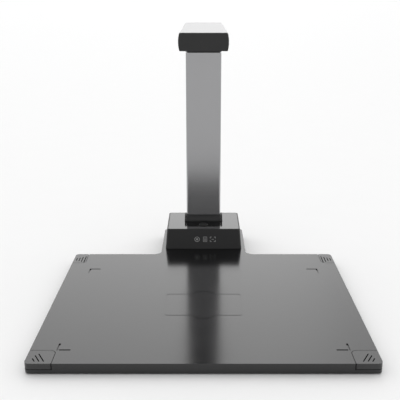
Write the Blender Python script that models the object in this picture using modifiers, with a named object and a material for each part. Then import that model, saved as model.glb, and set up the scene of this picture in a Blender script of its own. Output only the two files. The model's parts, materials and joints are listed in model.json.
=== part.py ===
"""Desktop document camera: a weighted board with page marks, a hinge block, a column and a camera arm.

Metres, +Z up. X runs across the board, -Y is the side the user sits on. The origin is on the desk,
under the middle of the object's box. The column turns on the base axis, the arm on the top axis.
"""

import math

import bmesh
import bpy
from mathutils import Matrix, Vector

MM = 0.001
GAP = 0.3 * MM

# Board: a T in plan, a wide page area with a narrow tab behind it that carries the hinge block.
BOARD_WIDTH = 351 * MM
BOARD_DEPTH = 287 * MM
TAB_WIDTH = 117 * MM
OVERALL_DEPTH = 390 * MM
BOARD_TOP = 12 * MM
BOARD_BOTTOM = 1.0 * MM
SKIRT_BOTTOM = 1.2 * MM
COVER_WALL = 2.2 * MM
BOTTOM_COVER_TOP = 3.6 * MM
STEEL_THICK = 1.5 * MM
BOARD_CORNER_R = 5 * MM
TAB_FILLET_R = 10 * MM
EDGE_ROUND = 0.8 * MM
CAVITY_MARGIN = 2.6 * MM
FRONT = -OVERALL_DEPTH / 2
BOARD_REAR = FRONT + BOARD_DEPTH
TAB_REAR = OVERALL_DEPTH / 2

# Corner pads, set in pockets of the top cover.
PAD_THICK = 6.3 * MM
PAD_GAP = 0.6 * MM
FRONT_PAD = (148.7 * MM, 25.4 * MM)  # inner edge from the middle, depth
REAR_PAD = (158.3 * MM, 31.3 * MM)
PAD_INNER_R = 6 * MM
PAD_SMALL_R = 1.2 * MM
PAD_GROOVE = (1.2 * MM, 1.2 * MM)  # width, depth
FRONT_GROOVES = (7 * MM, 13.5 * MM, 17 * MM)  # lengths, outermost first
FRONT_GROOVE_START = (9.9 * MM, 4 * MM)  # from the board's side and front to the outermost one's end
FRONT_GROOVE_PITCH = 4.6 * MM
FRONT_GROOVE_SLANT = math.radians(29)
REAR_GROOVES = (9 * MM, 13 * MM, 17.5 * MM, 21.5 * MM)
REAR_GROOVE_START = (3.9 * MM, 19.3 * MM)  # from the board's side and rear to the outermost one's middle
REAR_GROOVE_PITCH = 3.7 * MM

# Marks engraved in the top: an A4 page's corners and an identity card's outline.
PAGE_HALF_WIDTH = 148.5 * MM
PAGE_FRONT = 25.4 * MM
PAGE_DEPTH = 210 * MM
CORNER_MARK = (14 * MM, 2 * MM, 1.1 * MM)  # length, width, depth
CARD_LINE = (1.0 * MM, 0.3 * MM)  # width, depth
CARD_HALF_WIDTH = 43.5 * MM
CARD_HALF_DEPTH = 27.5 * MM
CARD_CORNER_R = 3 * MM
NOTCH_HALF_WIDTH = 13 * MM
NOTCH_RISE = 8 * MM

# Hinge block on the tab.
BLOCK_FRONT = FRONT + 306.5 * MM
BLOCK_REAR = FRONT + 388 * MM
BLOCK_HALF_WIDTH = 53.5 * MM
BLOCK_BOTTOM = BOARD_TOP + GAP
BLOCK_TOP = BOARD_TOP + 28.1 * MM
BLOCK_TOP_FRONT = FRONT + 311.4 * MM
BLOCK_TOP_REAR = FRONT + 384.7 * MM
BLOCK_TOP_HALF_WIDTH = 51.25 * MM
BLOCK_CORNER_R = 4 * MM
BLOCK_WALL = 2 * MM
BLOCK_ROOF = 1.3 * MM
PANEL_THICK = 1.5 * MM
PANEL_RIM = 1.2 * MM
BUTTON_R = 6.5 * MM
BUTTON_STEM_R = 3.5 * MM
BUTTON_PROUD = 1.2 * MM
BUTTON_Y = FRONT + 330 * MM
BUTTON_SKIRT = 1.1 * MM  # height of the cap's underside above the panel's seat
MAIN_BOARD_TOP = 29.6 * MM
LAMINATE = 1.6 * MM
PEG_X = 38 * MM
PORT_Z = BOARD_TOP + 7 * MM
PORT_OPENING = (4.9 * MM, 2.0 * MM)  # half width, half height
PORT_SHELL = (4.5 * MM, 1.6 * MM)
PORT_WALL = 0.4 * MM
PORT_LENGTH = 8 * MM

# Hinges: both axes run along X, in the column's middle plane.
HINGE_Y = FRONT + 352.9 * MM
BASE_AXIS_Z = BLOCK_TOP + 0.4 * MM
ARM_AXIS_Z = 290.2 * MM
KNUCKLE_R = 10 * MM
BASE_KNUCKLE_HALF = 24.25 * MM
ARM_KNUCKLE_HALF = 18.3 * MM
EAR_THICK = 2.5 * MM
PIN_R = 3 * MM
PIN_START = 9 * MM
WASHER_R = 6.2 * MM
WASHER_THICK = 2.2 * MM
BRACKET_PLATE = (13 * MM, 3.5 * MM)  # half depth, thickness
BRACKET_SCREW_X = 15 * MM

# Column: a flat extruded tube.
COLUMN_WIDTH = 48.5 * MM
COLUMN_THICK = 10 * MM
COLUMN_WALL = 1.5 * MM
COLUMN_CORNER_R = 3 * MM
COLUMN_BOTTOM = BASE_AXIS_Z + 8.9 * MM
COLUMN_TOP = 279.7 * MM
PLUG_LENGTH = 24 * MM
SLOT_HALF = (7 * MM, 2 * MM)  # cable slot through both knuckles, half sizes in X and Y
SLOT_REACH = 40 * MM
COLUMN_SCREW = (15 * MM, 12 * MM)  # from the middle, from the tube's end
RIBBON = (6 * MM, 0.3 * MM)  # half width, half thickness

# Arm: a bar with bulging sides, level over the page.
ARM_BOTTOM = 300.5 * MM
ARM_TOP = 318.4 * MM
ARM_HALF_WIDTH = 24.5 * MM
ARM_BULGE = 1.15 * MM
ARM_CORNER_R = 1.2 * MM
ARM_FRONT = FRONT + 114.2 * MM
ARM_REAR = HINGE_Y + KNUCKLE_R
ARM_WALL = 1.6 * MM
ARM_SEAM_Z = ARM_BOTTOM + 2.7 * MM
FRONT_CAP = 6 * MM
REAR_CAP = 5 * MM
LENS_Y = FRONT + 130.4 * MM
WINDOW_R = 8 * MM
LED_Y = LENS_Y + 21 * MM
LED_HALF = (17 * MM, 3 * MM)
HUB_OUT = 24.2 * MM
STEM_OUT = 22.3 * MM
STEM_DEPTH = (8 * MM, 4 * MM)  # in front of and behind the arm's axis
ARM_PLATE_FRONT = 26 * MM
ARM_SCREW_X = 15 * MM
HOLDER_HALF = 7.5 * MM
BARREL_R = 5.2 * MM
GLASS_R = 3.6 * MM

# Fasteners.
SCREW_R = 1.2 * MM
SCREW_HEAD = (2.5 * MM, 1.2 * MM)  # radius, height
HEAD_SEAT = 1.5 * MM
BOARD_SCREW_X = 150 * MM
ROUND = 24  # sides of a round piece

PLASTIC_BLACK = ("black_plastic", (0.022, 0.022, 0.023), 0.45, 0.0)
BOARD_BLACK = ("board_plastic", (0.024, 0.024, 0.026), 0.28, 0.0)
GLOSS_BLACK = ("gloss_black", (0.01, 0.01, 0.011), 0.08, 0.0)
GUNMETAL = ("gunmetal", (0.30, 0.30, 0.31), 0.3, 1.0)
STEEL = ("steel", (0.55, 0.55, 0.56), 0.35, 1.0)
RUBBER = ("rubber", (0.03, 0.03, 0.03), 0.85, 0.0)
PAD_PLASTIC = ("pad_plastic", (0.016, 0.016, 0.017), 0.24, 0.0)
CIRCUIT = ("circuit_board", (0.02, 0.14, 0.06), 0.5, 0.0)
CHIP = ("chip", (0.015, 0.015, 0.016), 0.55, 0.0)
GLASS = ("lens_glass", (0.03, 0.04, 0.07), 0.03, 0.0)
DIFFUSER = ("diffuser", (0.8, 0.8, 0.78), 0.4, 0.0)
CABLE = ("ribbon_cable", (0.75, 0.73, 0.68), 0.5, 0.0)


def clear_scene():
    for thing in list(bpy.data.objects):
        bpy.data.objects.remove(thing, do_unlink=True)


def new_collection(name):
    collection = bpy.data.collections.new(name)
    bpy.context.scene.collection.children.link(collection)
    return collection


def material(look):
    name, colour, roughness, metallic = look
    found = bpy.data.materials.get(name)
    if found:
        return found
    made = bpy.data.materials.new(name)
    made.use_nodes = True
    shader = made.node_tree.nodes["Principled BSDF"]
    shader.inputs["Base Color"].default_value = (*colour, 1)
    shader.inputs["Roughness"].default_value = roughness
    shader.inputs["Metallic"].default_value = metallic
    return made


def add_part(name, mesh, look, pivot=None):
    """Link a mesh as one named part, riding on a pivot empty if it moves."""
    mesh.materials.append(material(look))
    mesh.shade_smooth()
    mesh.set_sharp_from_angle(angle=math.radians(30))
    part = bpy.data.objects.new(name, mesh)
    parts.objects.link(part)
    if pivot:
        part.parent = pivot
        part.matrix_parent_inverse = Matrix.Translation(-pivot.location)
    return part


def add_cutter(name, mesh):
    cutter = bpy.data.objects.new(name, mesh)
    cutter.hide_render = True
    cutter.display_type = "WIRE"
    cutters.objects.link(cutter)
    return cutter


def combine(part, mesh, operation="DIFFERENCE"):
    """Cut a mesh from a part, or join it on, with a Boolean modifier."""
    count = len(part.modifiers)
    cutter = add_cutter(f"{part.name}_{operation.lower()}_{count}", mesh)
    if part.parent:
        cutter.parent = part.parent
        cutter.matrix_parent_inverse = part.matrix_parent_inverse.copy()
    step = part.modifiers.new(cutter.name, "BOOLEAN")
    step.operation = operation
    step.solver = "EXACT"
    step.object = cutter


def mesh_from(bm, name):
    mesh = bpy.data.meshes.new(name)
    bm.to_mesh(mesh)
    bm.free()
    return mesh


def box(low, high):
    """A cuboid between two corners."""
    low, high = Vector(low), Vector(high)
    bm = bmesh.new()
    placed = Matrix.Translation((low + high) / 2) @ Matrix.Diagonal((*(high - low), 1))
    bmesh.ops.create_cube(bm, size=1, matrix=placed)
    return mesh_from(bm, "box")


def rod(axis, start, end, radius, sides=ROUND):
    """A cylinder along X or Z, from a start point to a coordinate on that axis."""
    index = "XYZ".index(axis)
    length = end - start[index]
    middle = Vector(start)
    middle[index] += length / 2
    turn = Matrix.Rotation(math.pi / 2, 4, "Y") if axis == "X" else Matrix.Identity(4)
    bm = bmesh.new()
    bmesh.ops.create_cone(
        bm,
        cap_ends=True,
        segments=sides,
        radius1=radius,
        radius2=radius,
        depth=length,
        matrix=Matrix.Translation(middle) @ turn,
    )
    return mesh_from(bm, "rod")


def rounded(corners, steps=5):
    """An outline's points, each (x, y, radius) corner rounded with an arc."""
    points = []
    for i, (x, y, radius) in enumerate(corners):
        corner = Vector((x, y))
        before = (Vector(corners[i - 1][:2]) - corner).normalized()
        after = (Vector(corners[(i + 1) % len(corners)][:2]) - corner).normalized()
        if radius <= 0:
            points.append(corner)
            continue
        half = before.angle(after) / 2
        centre = corner + (before + after).normalized() * radius / math.sin(half)
        first = corner + before * radius / math.tan(half) - centre
        last = corner + after * radius / math.tan(half) - centre
        sweep = first.angle_signed(last)
        for step in range(steps + 1):
            points.append(centre + Matrix.Rotation(-sweep * step / steps, 2) @ first)
    return points


def extrude(outlines, start, end, along="Z"):
    """A flat outline, with any holes, given a thickness along Z, X or Y."""
    curve = bpy.data.curves.new("outline", "CURVE")
    curve.dimensions = "2D"
    curve.fill_mode = "BOTH"
    curve.extrude = (end - start) / 2
    for points in outlines:
        spline = curve.splines.new("POLY")
        spline.points.add(len(points) - 1)
        for slot, point in zip(spline.points, points):
            slot.co = (point[0], point[1], 0, 1)
        spline.use_cyclic_u = True
    guide = bpy.data.objects.new("outline", curve)
    cutters.objects.link(guide)
    evaluated = guide.evaluated_get(bpy.context.evaluated_depsgraph_get())
    mesh = bpy.data.meshes.new_from_object(evaluated)
    bpy.data.objects.remove(guide)
    # Local x and y are the outline's; the thickness takes the third axis.
    turns = {
        "Z": Matrix.Identity(4),
        "X": Matrix(((0, 0, 1, 0), (1, 0, 0, 0), (0, 1, 0, 0), (0, 0, 0, 1))),
        "Y": Matrix(((1, 0, 0, 0), (0, 0, -1, 0), (0, 1, 0, 0), (0, 0, 0, 1))),
    }
    middle = (start + end) / 2
    shift = {"Z": (0, 0, middle), "X": (middle, 0, 0), "Y": (0, middle, 0)}[along]
    bm = bmesh.new()
    bm.from_mesh(mesh)
    bmesh.ops.remove_doubles(bm, verts=bm.verts, dist=1e-6)
    bmesh.ops.transform(bm, matrix=Matrix.Translation(shift) @ turns[along], verts=bm.verts)
    bmesh.ops.recalc_face_normals(bm, faces=bm.faces)
    if bm.calc_volume(signed=True) < 0:
        bmesh.ops.reverse_faces(bm, faces=bm.faces)
    bm.to_mesh(mesh)
    bm.free()
    return mesh


def round_edges(part, width, angle=50, segments=2):
    bevel = part.modifiers.new("round_edges", "BEVEL")
    bevel.width = width
    bevel.segments = segments
    bevel.limit_method = "ANGLE"
    bevel.angle_limit = math.radians(angle)
    bevel.harden_normals = False


def rectangle(x0, y0, x1, y1, radius=0.0, steps=4):
    return rounded([(x0, y0, radius), (x1, y0, radius), (x1, y1, radius), (x0, y1, radius)], steps)


def mirrored(half):
    """A closed outline from the corners of its +X half."""
    return half + [(-x, y, radius) for x, y, radius in reversed(half)]


def board_outline(inset):
    """The T of the board, drawn in from its edge by an inset."""
    outer = max(BOARD_CORNER_R - inset, 1 * MM)
    side, tab = BOARD_WIDTH / 2 - inset, TAB_WIDTH / 2 - inset
    half = [
        (side, FRONT + inset, outer),
        (side, BOARD_REAR - inset, outer),
        (tab, BOARD_REAR - inset, TAB_FILLET_R + inset),
        (tab, TAB_REAR - inset, outer),
    ]
    return rounded(mirrored(half))


def middle_outline(inset):
    """A plain T between the corner pockets, drawn in from the board's edge by an inset."""
    side, tab = FRONT_PAD[0] - inset, TAB_WIDTH / 2 - inset
    half = [
        (side, FRONT + inset, 0),
        (side, BOARD_REAR - inset, 0),
        (tab, BOARD_REAR - inset, 0),
        (tab, TAB_REAR - inset, 0),
    ]
    return rounded(mirrored(half))


def card_outline(grow):
    """A card with a finger notch swelling out of its front and rear sides."""
    middle = FRONT + PAGE_FRONT + PAGE_DEPTH / 2
    wide, deep = CARD_HALF_WIDTH + grow, CARD_HALF_DEPTH + grow
    radius = (NOTCH_HALF_WIDTH**2 + NOTCH_RISE**2) / (2 * NOTCH_RISE)
    centre = CARD_HALF_DEPTH + NOTCH_RISE - radius
    radius += grow
    reach = math.acos((deep - centre) / radius)
    angles = [reach * (step / 8 - 1) for step in range(17)]
    rear_notch = [Vector((-radius * math.sin(a), centre + radius * math.cos(a))) for a in angles]
    front_notch = [-point for point in rear_notch]
    corners = rectangle(-wide, -deep, wide, deep, CARD_CORNER_R + grow, 4)
    half = len(corners) // 4
    points = corners[:half] + front_notch + corners[half:3 * half]
    points += rear_notch + corners[3 * half:]
    return [point + Vector((0, middle)) for point in points]


def pad_outline(inner_edge, depth, side, rear, grow):
    """A pad in one corner of the board; grow widens it into the pocket that holds it."""
    beyond = 3 * MM if grow else 0
    x_in, x_out = inner_edge - grow, BOARD_WIDTH / 2 + beyond
    corner = 1 * MM if grow else BOARD_CORNER_R
    if rear:
        y_out, y_in = BOARD_REAR + beyond, BOARD_REAR - depth - grow
    else:
        y_out, y_in = FRONT - beyond, FRONT + depth + grow
    inner = PAD_INNER_R + grow
    corners = [
        (x_in, y_out, PAD_SMALL_R),
        (x_out, y_out, corner),
        (x_out, y_in, PAD_SMALL_R),
        (x_in, y_in, inner),
    ]
    return rounded([(side * x, y, radius) for x, y, radius in corners])


def pad_grooves(side, rear):
    """Slanted grooves on a front pad, straight ones on a rear pad, as (centre, length, turn)."""
    grooves = []
    if rear:
        start_x, start_y = REAR_GROOVE_START
        for i, length in enumerate(REAR_GROOVES):
            x = BOARD_WIDTH / 2 - start_x - REAR_GROOVE_PITCH * i
            grooves.append(((side * x, BOARD_REAR - start_y), length, 0.0))
    else:
        start_x, start_y = FRONT_GROOVE_START
        for i, length in enumerate(FRONT_GROOVES):
            x = BOARD_WIDTH / 2 - start_x - FRONT_GROOVE_PITCH * i
            x += length / 2 * math.sin(FRONT_GROOVE_SLANT)
            y = FRONT + start_y + length / 2 * math.cos(FRONT_GROOVE_SLANT)
            grooves.append(((side * x, y), length, -side * FRONT_GROOVE_SLANT))
    return grooves


def screw(name, point, axis_end, pivot=None):
    """A pan-head screw standing on its head, along Z."""
    head_r, head_height = SCREW_HEAD
    x, y, z = point
    body = add_part(name, rod("Z", point, z + head_height, head_r, 16), STEEL, pivot)
    combine(body, rod("Z", (x, y, z + head_height / 2), axis_end, SCREW_R, 16), "UNION")
    return body


def make_board():
    top = add_part("base_top_cover", extrude([board_outline(0)], SKIRT_BOTTOM, BOARD_TOP), BOARD_BLACK)
    round_edges(top, EDGE_ROUND)
    seat_top = BOTTOM_COVER_TOP + GAP
    combine(top, extrude([board_outline(COVER_WALL)], 0, seat_top))
    ceiling = BOARD_TOP - COVER_WALL
    combine(top, extrude([middle_outline(CAVITY_MARGIN)], 2 * MM, ceiling))
    for side in (-1, 1):
        x0, x1 = sorted((side * (FRONT_PAD[0] - 5 * MM), side * (BOARD_WIDTH / 2 - CAVITY_MARGIN)))
        y0 = FRONT + FRONT_PAD[1] + CAVITY_MARGIN
        y1 = BOARD_REAR - REAR_PAD[1] - CAVITY_MARGIN
        combine(top, box((x0, y0, 2 * MM), (x1, y1, ceiling - 0.1 * MM)))
    bottom = add_part(
        "base_bottom_cover",
        extrude([board_outline(COVER_WALL + GAP)], BOARD_BOTTOM, BOTTOM_COVER_TOP),
        PLASTIC_BLACK,
    )
    steel_bottom = BOTTOM_COVER_TOP + GAP
    steel_top = steel_bottom + STEEL_THICK
    steel = add_part(
        "base_steel_plate", extrude([middle_outline(5 * MM)], steel_bottom, steel_top), STEEL
    )
    head_seat = BOARD_BOTTOM + HEAD_SEAT
    head_r = SCREW_HEAD[0]

    # Screws from below: four close the board, two reach through it into the hinge bracket.
    boss_r, hole_r = 3.5 * MM, SCREW_R + GAP
    for row, y in (("front", FRONT + 45 * MM), ("rear", BOARD_REAR - 50 * MM)):
        for word, side in (("left", -1), ("right", 1)):
            x = side * BOARD_SCREW_X
            combine(top, rod("Z", (x, y, seat_top), ceiling + 0.5 * MM, boss_r), "UNION")
            combine(top, rod("Z", (x, y, 3 * MM), 9.3 * MM, hole_r, 16))
            combine(bottom, rod("Z", (x, y, 0), head_seat, head_r + GAP))
            combine(bottom, rod("Z", (x, y, 0), 5 * MM, hole_r, 16))
            screw(f"base_screw_{row}_{word}", (x, y, BOARD_BOTTOM), 9 * MM)
    for word, side in (("left", -1), ("right", 1)):
        x, y = side * BRACKET_SCREW_X, HINGE_Y
        combine(top, rod("Z", (x, y, steel_top + GAP), ceiling + 0.5 * MM, 4 * MM), "UNION")
        combine(top, rod("Z", (x, y, 3 * MM), 14 * MM, hole_r, 16))
        combine(steel, rod("Z", (x, y, 3 * MM), 6 * MM, hole_r, 16))
        combine(bottom, rod("Z", (x, y, 0), head_seat, head_r + GAP))
        combine(bottom, rod("Z", (x, y, 0), 5 * MM, hole_r, 16))
        screw(f"bracket_screw_{word}", (x, y, BOARD_BOTTOM), BOARD_TOP + 3 * MM)

    # Rubber feet in shallow seats of the bottom cover.
    foot_r, foot_seat = 6 * MM, 2.1 * MM
    for row, y in (("front", FRONT + 20 * MM), ("rear", BOARD_REAR - 20 * MM)):
        for word, side in (("left", -1), ("right", 1)):
            x = side * 158 * MM
            combine(bottom, rod("Z", (x, y, 0), foot_seat, foot_r + GAP))
            foot = rod("Z", (x, y, 0), foot_seat - GAP, foot_r)
            add_part(f"foot_{row}_{word}", foot, RUBBER)

    # Pads in their pockets.
    width, depth = PAD_GROOVE
    pocket_floor = BOARD_TOP - PAD_THICK - PAD_GAP
    for row, (inner_edge, pad_depth) in (("front", FRONT_PAD), ("rear", REAR_PAD)):
        rear = row == "rear"
        for word, side in (("left", -1), ("right", 1)):
            shape = (inner_edge, pad_depth, side, rear)
            combine(top, extrude([pad_outline(*shape, PAD_GAP)], pocket_floor, BOARD_TOP + 2 * MM))
            pad_mesh = extrude([pad_outline(*shape, 0)], BOARD_TOP - PAD_THICK, BOARD_TOP)
            pad = add_part(f"{row}_pad_{word}", pad_mesh, PAD_PLASTIC)
            round_edges(pad, 0.4 * MM)
            for (x, y), length, turn in pad_grooves(side, rear):
                groove = box((-width / 2, -length / 2, -depth), (width / 2, length / 2, 2 * depth))
                groove.transform(Matrix.Translation((x, y, BOARD_TOP)) @ Matrix.Rotation(turn, 4, "Z"))
                combine(pad, groove)

    # Engraved page corners and card outline.
    above = BOARD_TOP + 1 * MM
    arm, line, deep = CORNER_MARK
    mark = [(0, 0), (arm, 0), (arm, line), (line, line), (line, arm), (0, arm)]
    for side in (-1, 1):
        for y, inward in ((FRONT + PAGE_FRONT, 1), (FRONT + PAGE_FRONT + PAGE_DEPTH, -1)):
            points = [(side * (PAGE_HALF_WIDTH - u), y + inward * v) for u, v in mark]
            combine(top, extrude([points], BOARD_TOP - deep, above))
    line, deep = CARD_LINE
    outlines = [card_outline(line / 2), card_outline(-line / 2)]
    combine(top, extrude(outlines, BOARD_TOP - deep, above))


def block_shell(inset, bottom, top):
    """The block's drafted box, drawn in by an inset: its upper rim is smaller than its base."""
    half = BLOCK_HALF_WIDTH - inset
    radius = max(BLOCK_CORNER_R - inset, 1 * MM)
    outline = rectangle(-half, BLOCK_FRONT + inset, half, BLOCK_REAR - inset, radius)
    mesh = extrude([outline], bottom, top)
    for vertex in mesh.vertices:
        share = (vertex.co.z - BLOCK_BOTTOM) / (BLOCK_TOP - BLOCK_BOTTOM)
        front = share * (BLOCK_TOP_FRONT - BLOCK_FRONT)
        rear = share * (BLOCK_TOP_REAR - BLOCK_REAR)
        along = (vertex.co.y - BLOCK_FRONT) / (BLOCK_REAR - BLOCK_FRONT)
        vertex.co.y += front + along * (rear - front)
        vertex.co.x *= 1 - share * (1 - BLOCK_TOP_HALF_WIDTH / BLOCK_HALF_WIDTH)
    return mesh


def make_block():
    housing = add_part("block_housing", block_shell(0, BLOCK_BOTTOM, BLOCK_TOP), PLASTIC_BLACK)
    round_edges(housing, 0.5 * MM, angle=60)
    panel_seat = BLOCK_TOP - PANEL_THICK - GAP
    roof = panel_seat - BLOCK_ROOF
    combine(housing, block_shell(BLOCK_WALL, 0, roof))
    combine(housing, block_shell(PANEL_RIM, panel_seat, BLOCK_TOP + 5 * MM))
    panel_mesh = block_shell(PANEL_RIM + GAP, panel_seat + GAP, BLOCK_TOP)
    panel = add_part("block_top_panel", panel_mesh, GLOSS_BLACK)

    # Both are open for the hinge and the button.
    low, high = roof - 5 * MM, BLOCK_TOP + 10 * MM
    reach_x = BASE_KNUCKLE_HALF + GAP + EAR_THICK + 0.4 * MM
    reach_y = KNUCKLE_R + 0.4 * MM
    for piece, hole_r in ((housing, BUTTON_STEM_R + GAP), (panel, BUTTON_R + GAP)):
        combine(piece, box((-reach_x, HINGE_Y - reach_y, low), (reach_x, HINGE_Y + reach_y, high)))
        combine(piece, rod("Z", (0, BUTTON_Y, low), high, hole_r, 32))
    half, tall = PORT_OPENING
    port = rectangle(-half, PORT_Z - tall, half, PORT_Z + tall, tall * 0.95)
    combine(housing, extrude([port], BLOCK_TOP_REAR - 5 * MM, BLOCK_REAR + 5 * MM, "Y"))

    # Button: a round cap in the panel, its stem through the roof, and the switch under it. The
    # cap's underside stands above the roof by more than its travel.
    cap_top = BLOCK_TOP + BUTTON_PROUD
    cap_bottom = panel_seat + GAP + BUTTON_SKIRT
    stem_bottom = roof - 2.0 * MM
    cap_mesh = rod("Z", (0, BUTTON_Y, cap_bottom), cap_top, BUTTON_R, 32)
    button = add_part("capture_button", cap_mesh, PLASTIC_BLACK, button_pivot)
    round_edges(button, 0.4 * MM)
    stem = rod("Z", (0, BUTTON_Y, stem_bottom), cap_top - 0.5 * MM, BUTTON_STEM_R)
    combine(button, stem, "UNION")

    # Main board, hung from the roof on two pegs, with the switch and the processor on it.
    low, high = MAIN_BOARD_TOP - LAMINATE, MAIN_BOARD_TOP
    chips = high + GAP
    for side in (-1, 1):
        peg = rod("Z", (side * PEG_X, BUTTON_Y, chips), roof + 0.6 * MM, 2.5 * MM)
        combine(housing, peg, "UNION")
    board = box((-44 * MM, BUTTON_Y - 13 * MM, low), (44 * MM, BUTTON_Y + 10 * MM, high))
    add_part("main_board", board, CIRCUIT)
    half, top = 3 * MM, stem_bottom - 1.6 * MM
    switch = box((-half, BUTTON_Y - half, chips), (half, BUTTON_Y + half, top))
    add_part("button_switch", switch, CHIP)
    half, top = 7 * MM, high + 1.6 * MM
    chip = box((2 * half, BUTTON_Y - half, chips), (4 * half, BUTTON_Y + half, top))
    add_part("main_processor", chip, CHIP)

    # Port board behind the hinge, with the cable socket in the rear wall's opening.
    shelf = PORT_Z - PORT_OPENING[1] - GAP
    rear_inside = BLOCK_REAR - 4 * MM
    half, deep = 14 * MM, 16 * MM
    board = box((-half, rear_inside - deep, shelf - LAMINATE), (half, rear_inside, shelf))
    add_part("port_board", board, CIRCUIT)
    half, tall = PORT_SHELL
    shell = rectangle(-half, PORT_Z - tall, half, PORT_Z + tall, tall * 0.94)
    half, tall = half - PORT_WALL, tall - PORT_WALL
    hollow = rectangle(-half, PORT_Z - tall, half, PORT_Z + tall, tall * 0.92)
    rear = BLOCK_REAR - 1 * MM
    socket = add_part("usb_port", extrude([shell], rear - PORT_LENGTH, rear, "Y"), STEEL)
    combine(socket, extrude([hollow], rear - PORT_LENGTH + 2 * MM, rear + 1 * MM, "Y"))


def make_base_hinge():
    """The bracket's two ears hold the pins on which the column's foot turns."""
    ear_in = BASE_KNUCKLE_HALF + GAP
    ear_out = ear_in + EAR_THICK
    foot_z = BLOCK_BOTTOM + 0.1 * MM
    deep, thick = BRACKET_PLATE
    plate = box((-ear_out, HINGE_Y - deep, foot_z), (ear_out, HINGE_Y + deep, foot_z + thick))
    bracket = add_part("base_hinge_bracket", plate, GLOSS_BLACK)
    for side in (-1, 1):
        x0, x1 = sorted((side * ear_in, side * ear_out))
        r = KNUCKLE_R
        profile = rounded([
            (HINGE_Y - r, foot_z + 1 * MM, 0),
            (HINGE_Y + r, foot_z + 1 * MM, 0),
            (HINGE_Y + r, BASE_AXIS_Z + r, r * 0.998),
            (HINGE_Y - r, BASE_AXIS_Z + r, r * 0.998),
        ], 8)
        combine(bracket, extrude([profile], x0, x1, "X"), "UNION")
    combine(bracket, rod("X", (-ear_out - 1 * MM, HINGE_Y, BASE_AXIS_Z), ear_out + 1 * MM, PIN_R + GAP))
    for side in (-1, 1):
        hole = rod("Z", (side * BRACKET_SCREW_X, HINGE_Y, 0), foot_z + 3 * MM, SCREW_R + GAP, 16)
        combine(bracket, hole)
    make_pins("base", BASE_AXIS_Z, BASE_KNUCKLE_HALF, ear_out, None)


def make_pins(name, axis_z, knuckle_half, ear_out, pivot):
    """Two stub pins, which leave the middle free for the cable, and their friction washers."""
    for word, side in (("left", -1), ("right", 1)):
        x0, x1 = sorted((side * PIN_START, side * (ear_out - 0.1 * MM)))
        add_part(f"{name}_hinge_pin_{word}", rod("X", (x0, HINGE_Y, axis_z), x1, PIN_R), STEEL, pivot)
        x0, x1 = sorted((side * (knuckle_half - WASHER_THICK), side * knuckle_half))
        ring = rod("X", (x0, HINGE_Y, axis_z), x1, WASHER_R)
        washer = add_part(f"{name}_friction_washer_{word}", ring, STEEL, pivot)
        combine(washer, rod("X", (x0 - 1 * MM, HINGE_Y, axis_z), x1 + 1 * MM, PIN_R + GAP))


def bore_knuckle(knuckle, axis_z, half):
    """The pins' bores and the washers' seats."""
    for side in (-1, 1):
        x0, x1 = sorted((side * (PIN_START - GAP), side * (half + 1 * MM)))
        combine(knuckle, rod("X", (x0, HINGE_Y, axis_z), x1, PIN_R + GAP))
        x0, x1 = sorted((side * (half - WASHER_THICK - GAP), side * (half + 2 * MM)))
        combine(knuckle, rod("X", (x0, HINGE_Y, axis_z), x1, WASHER_R + GAP))


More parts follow.
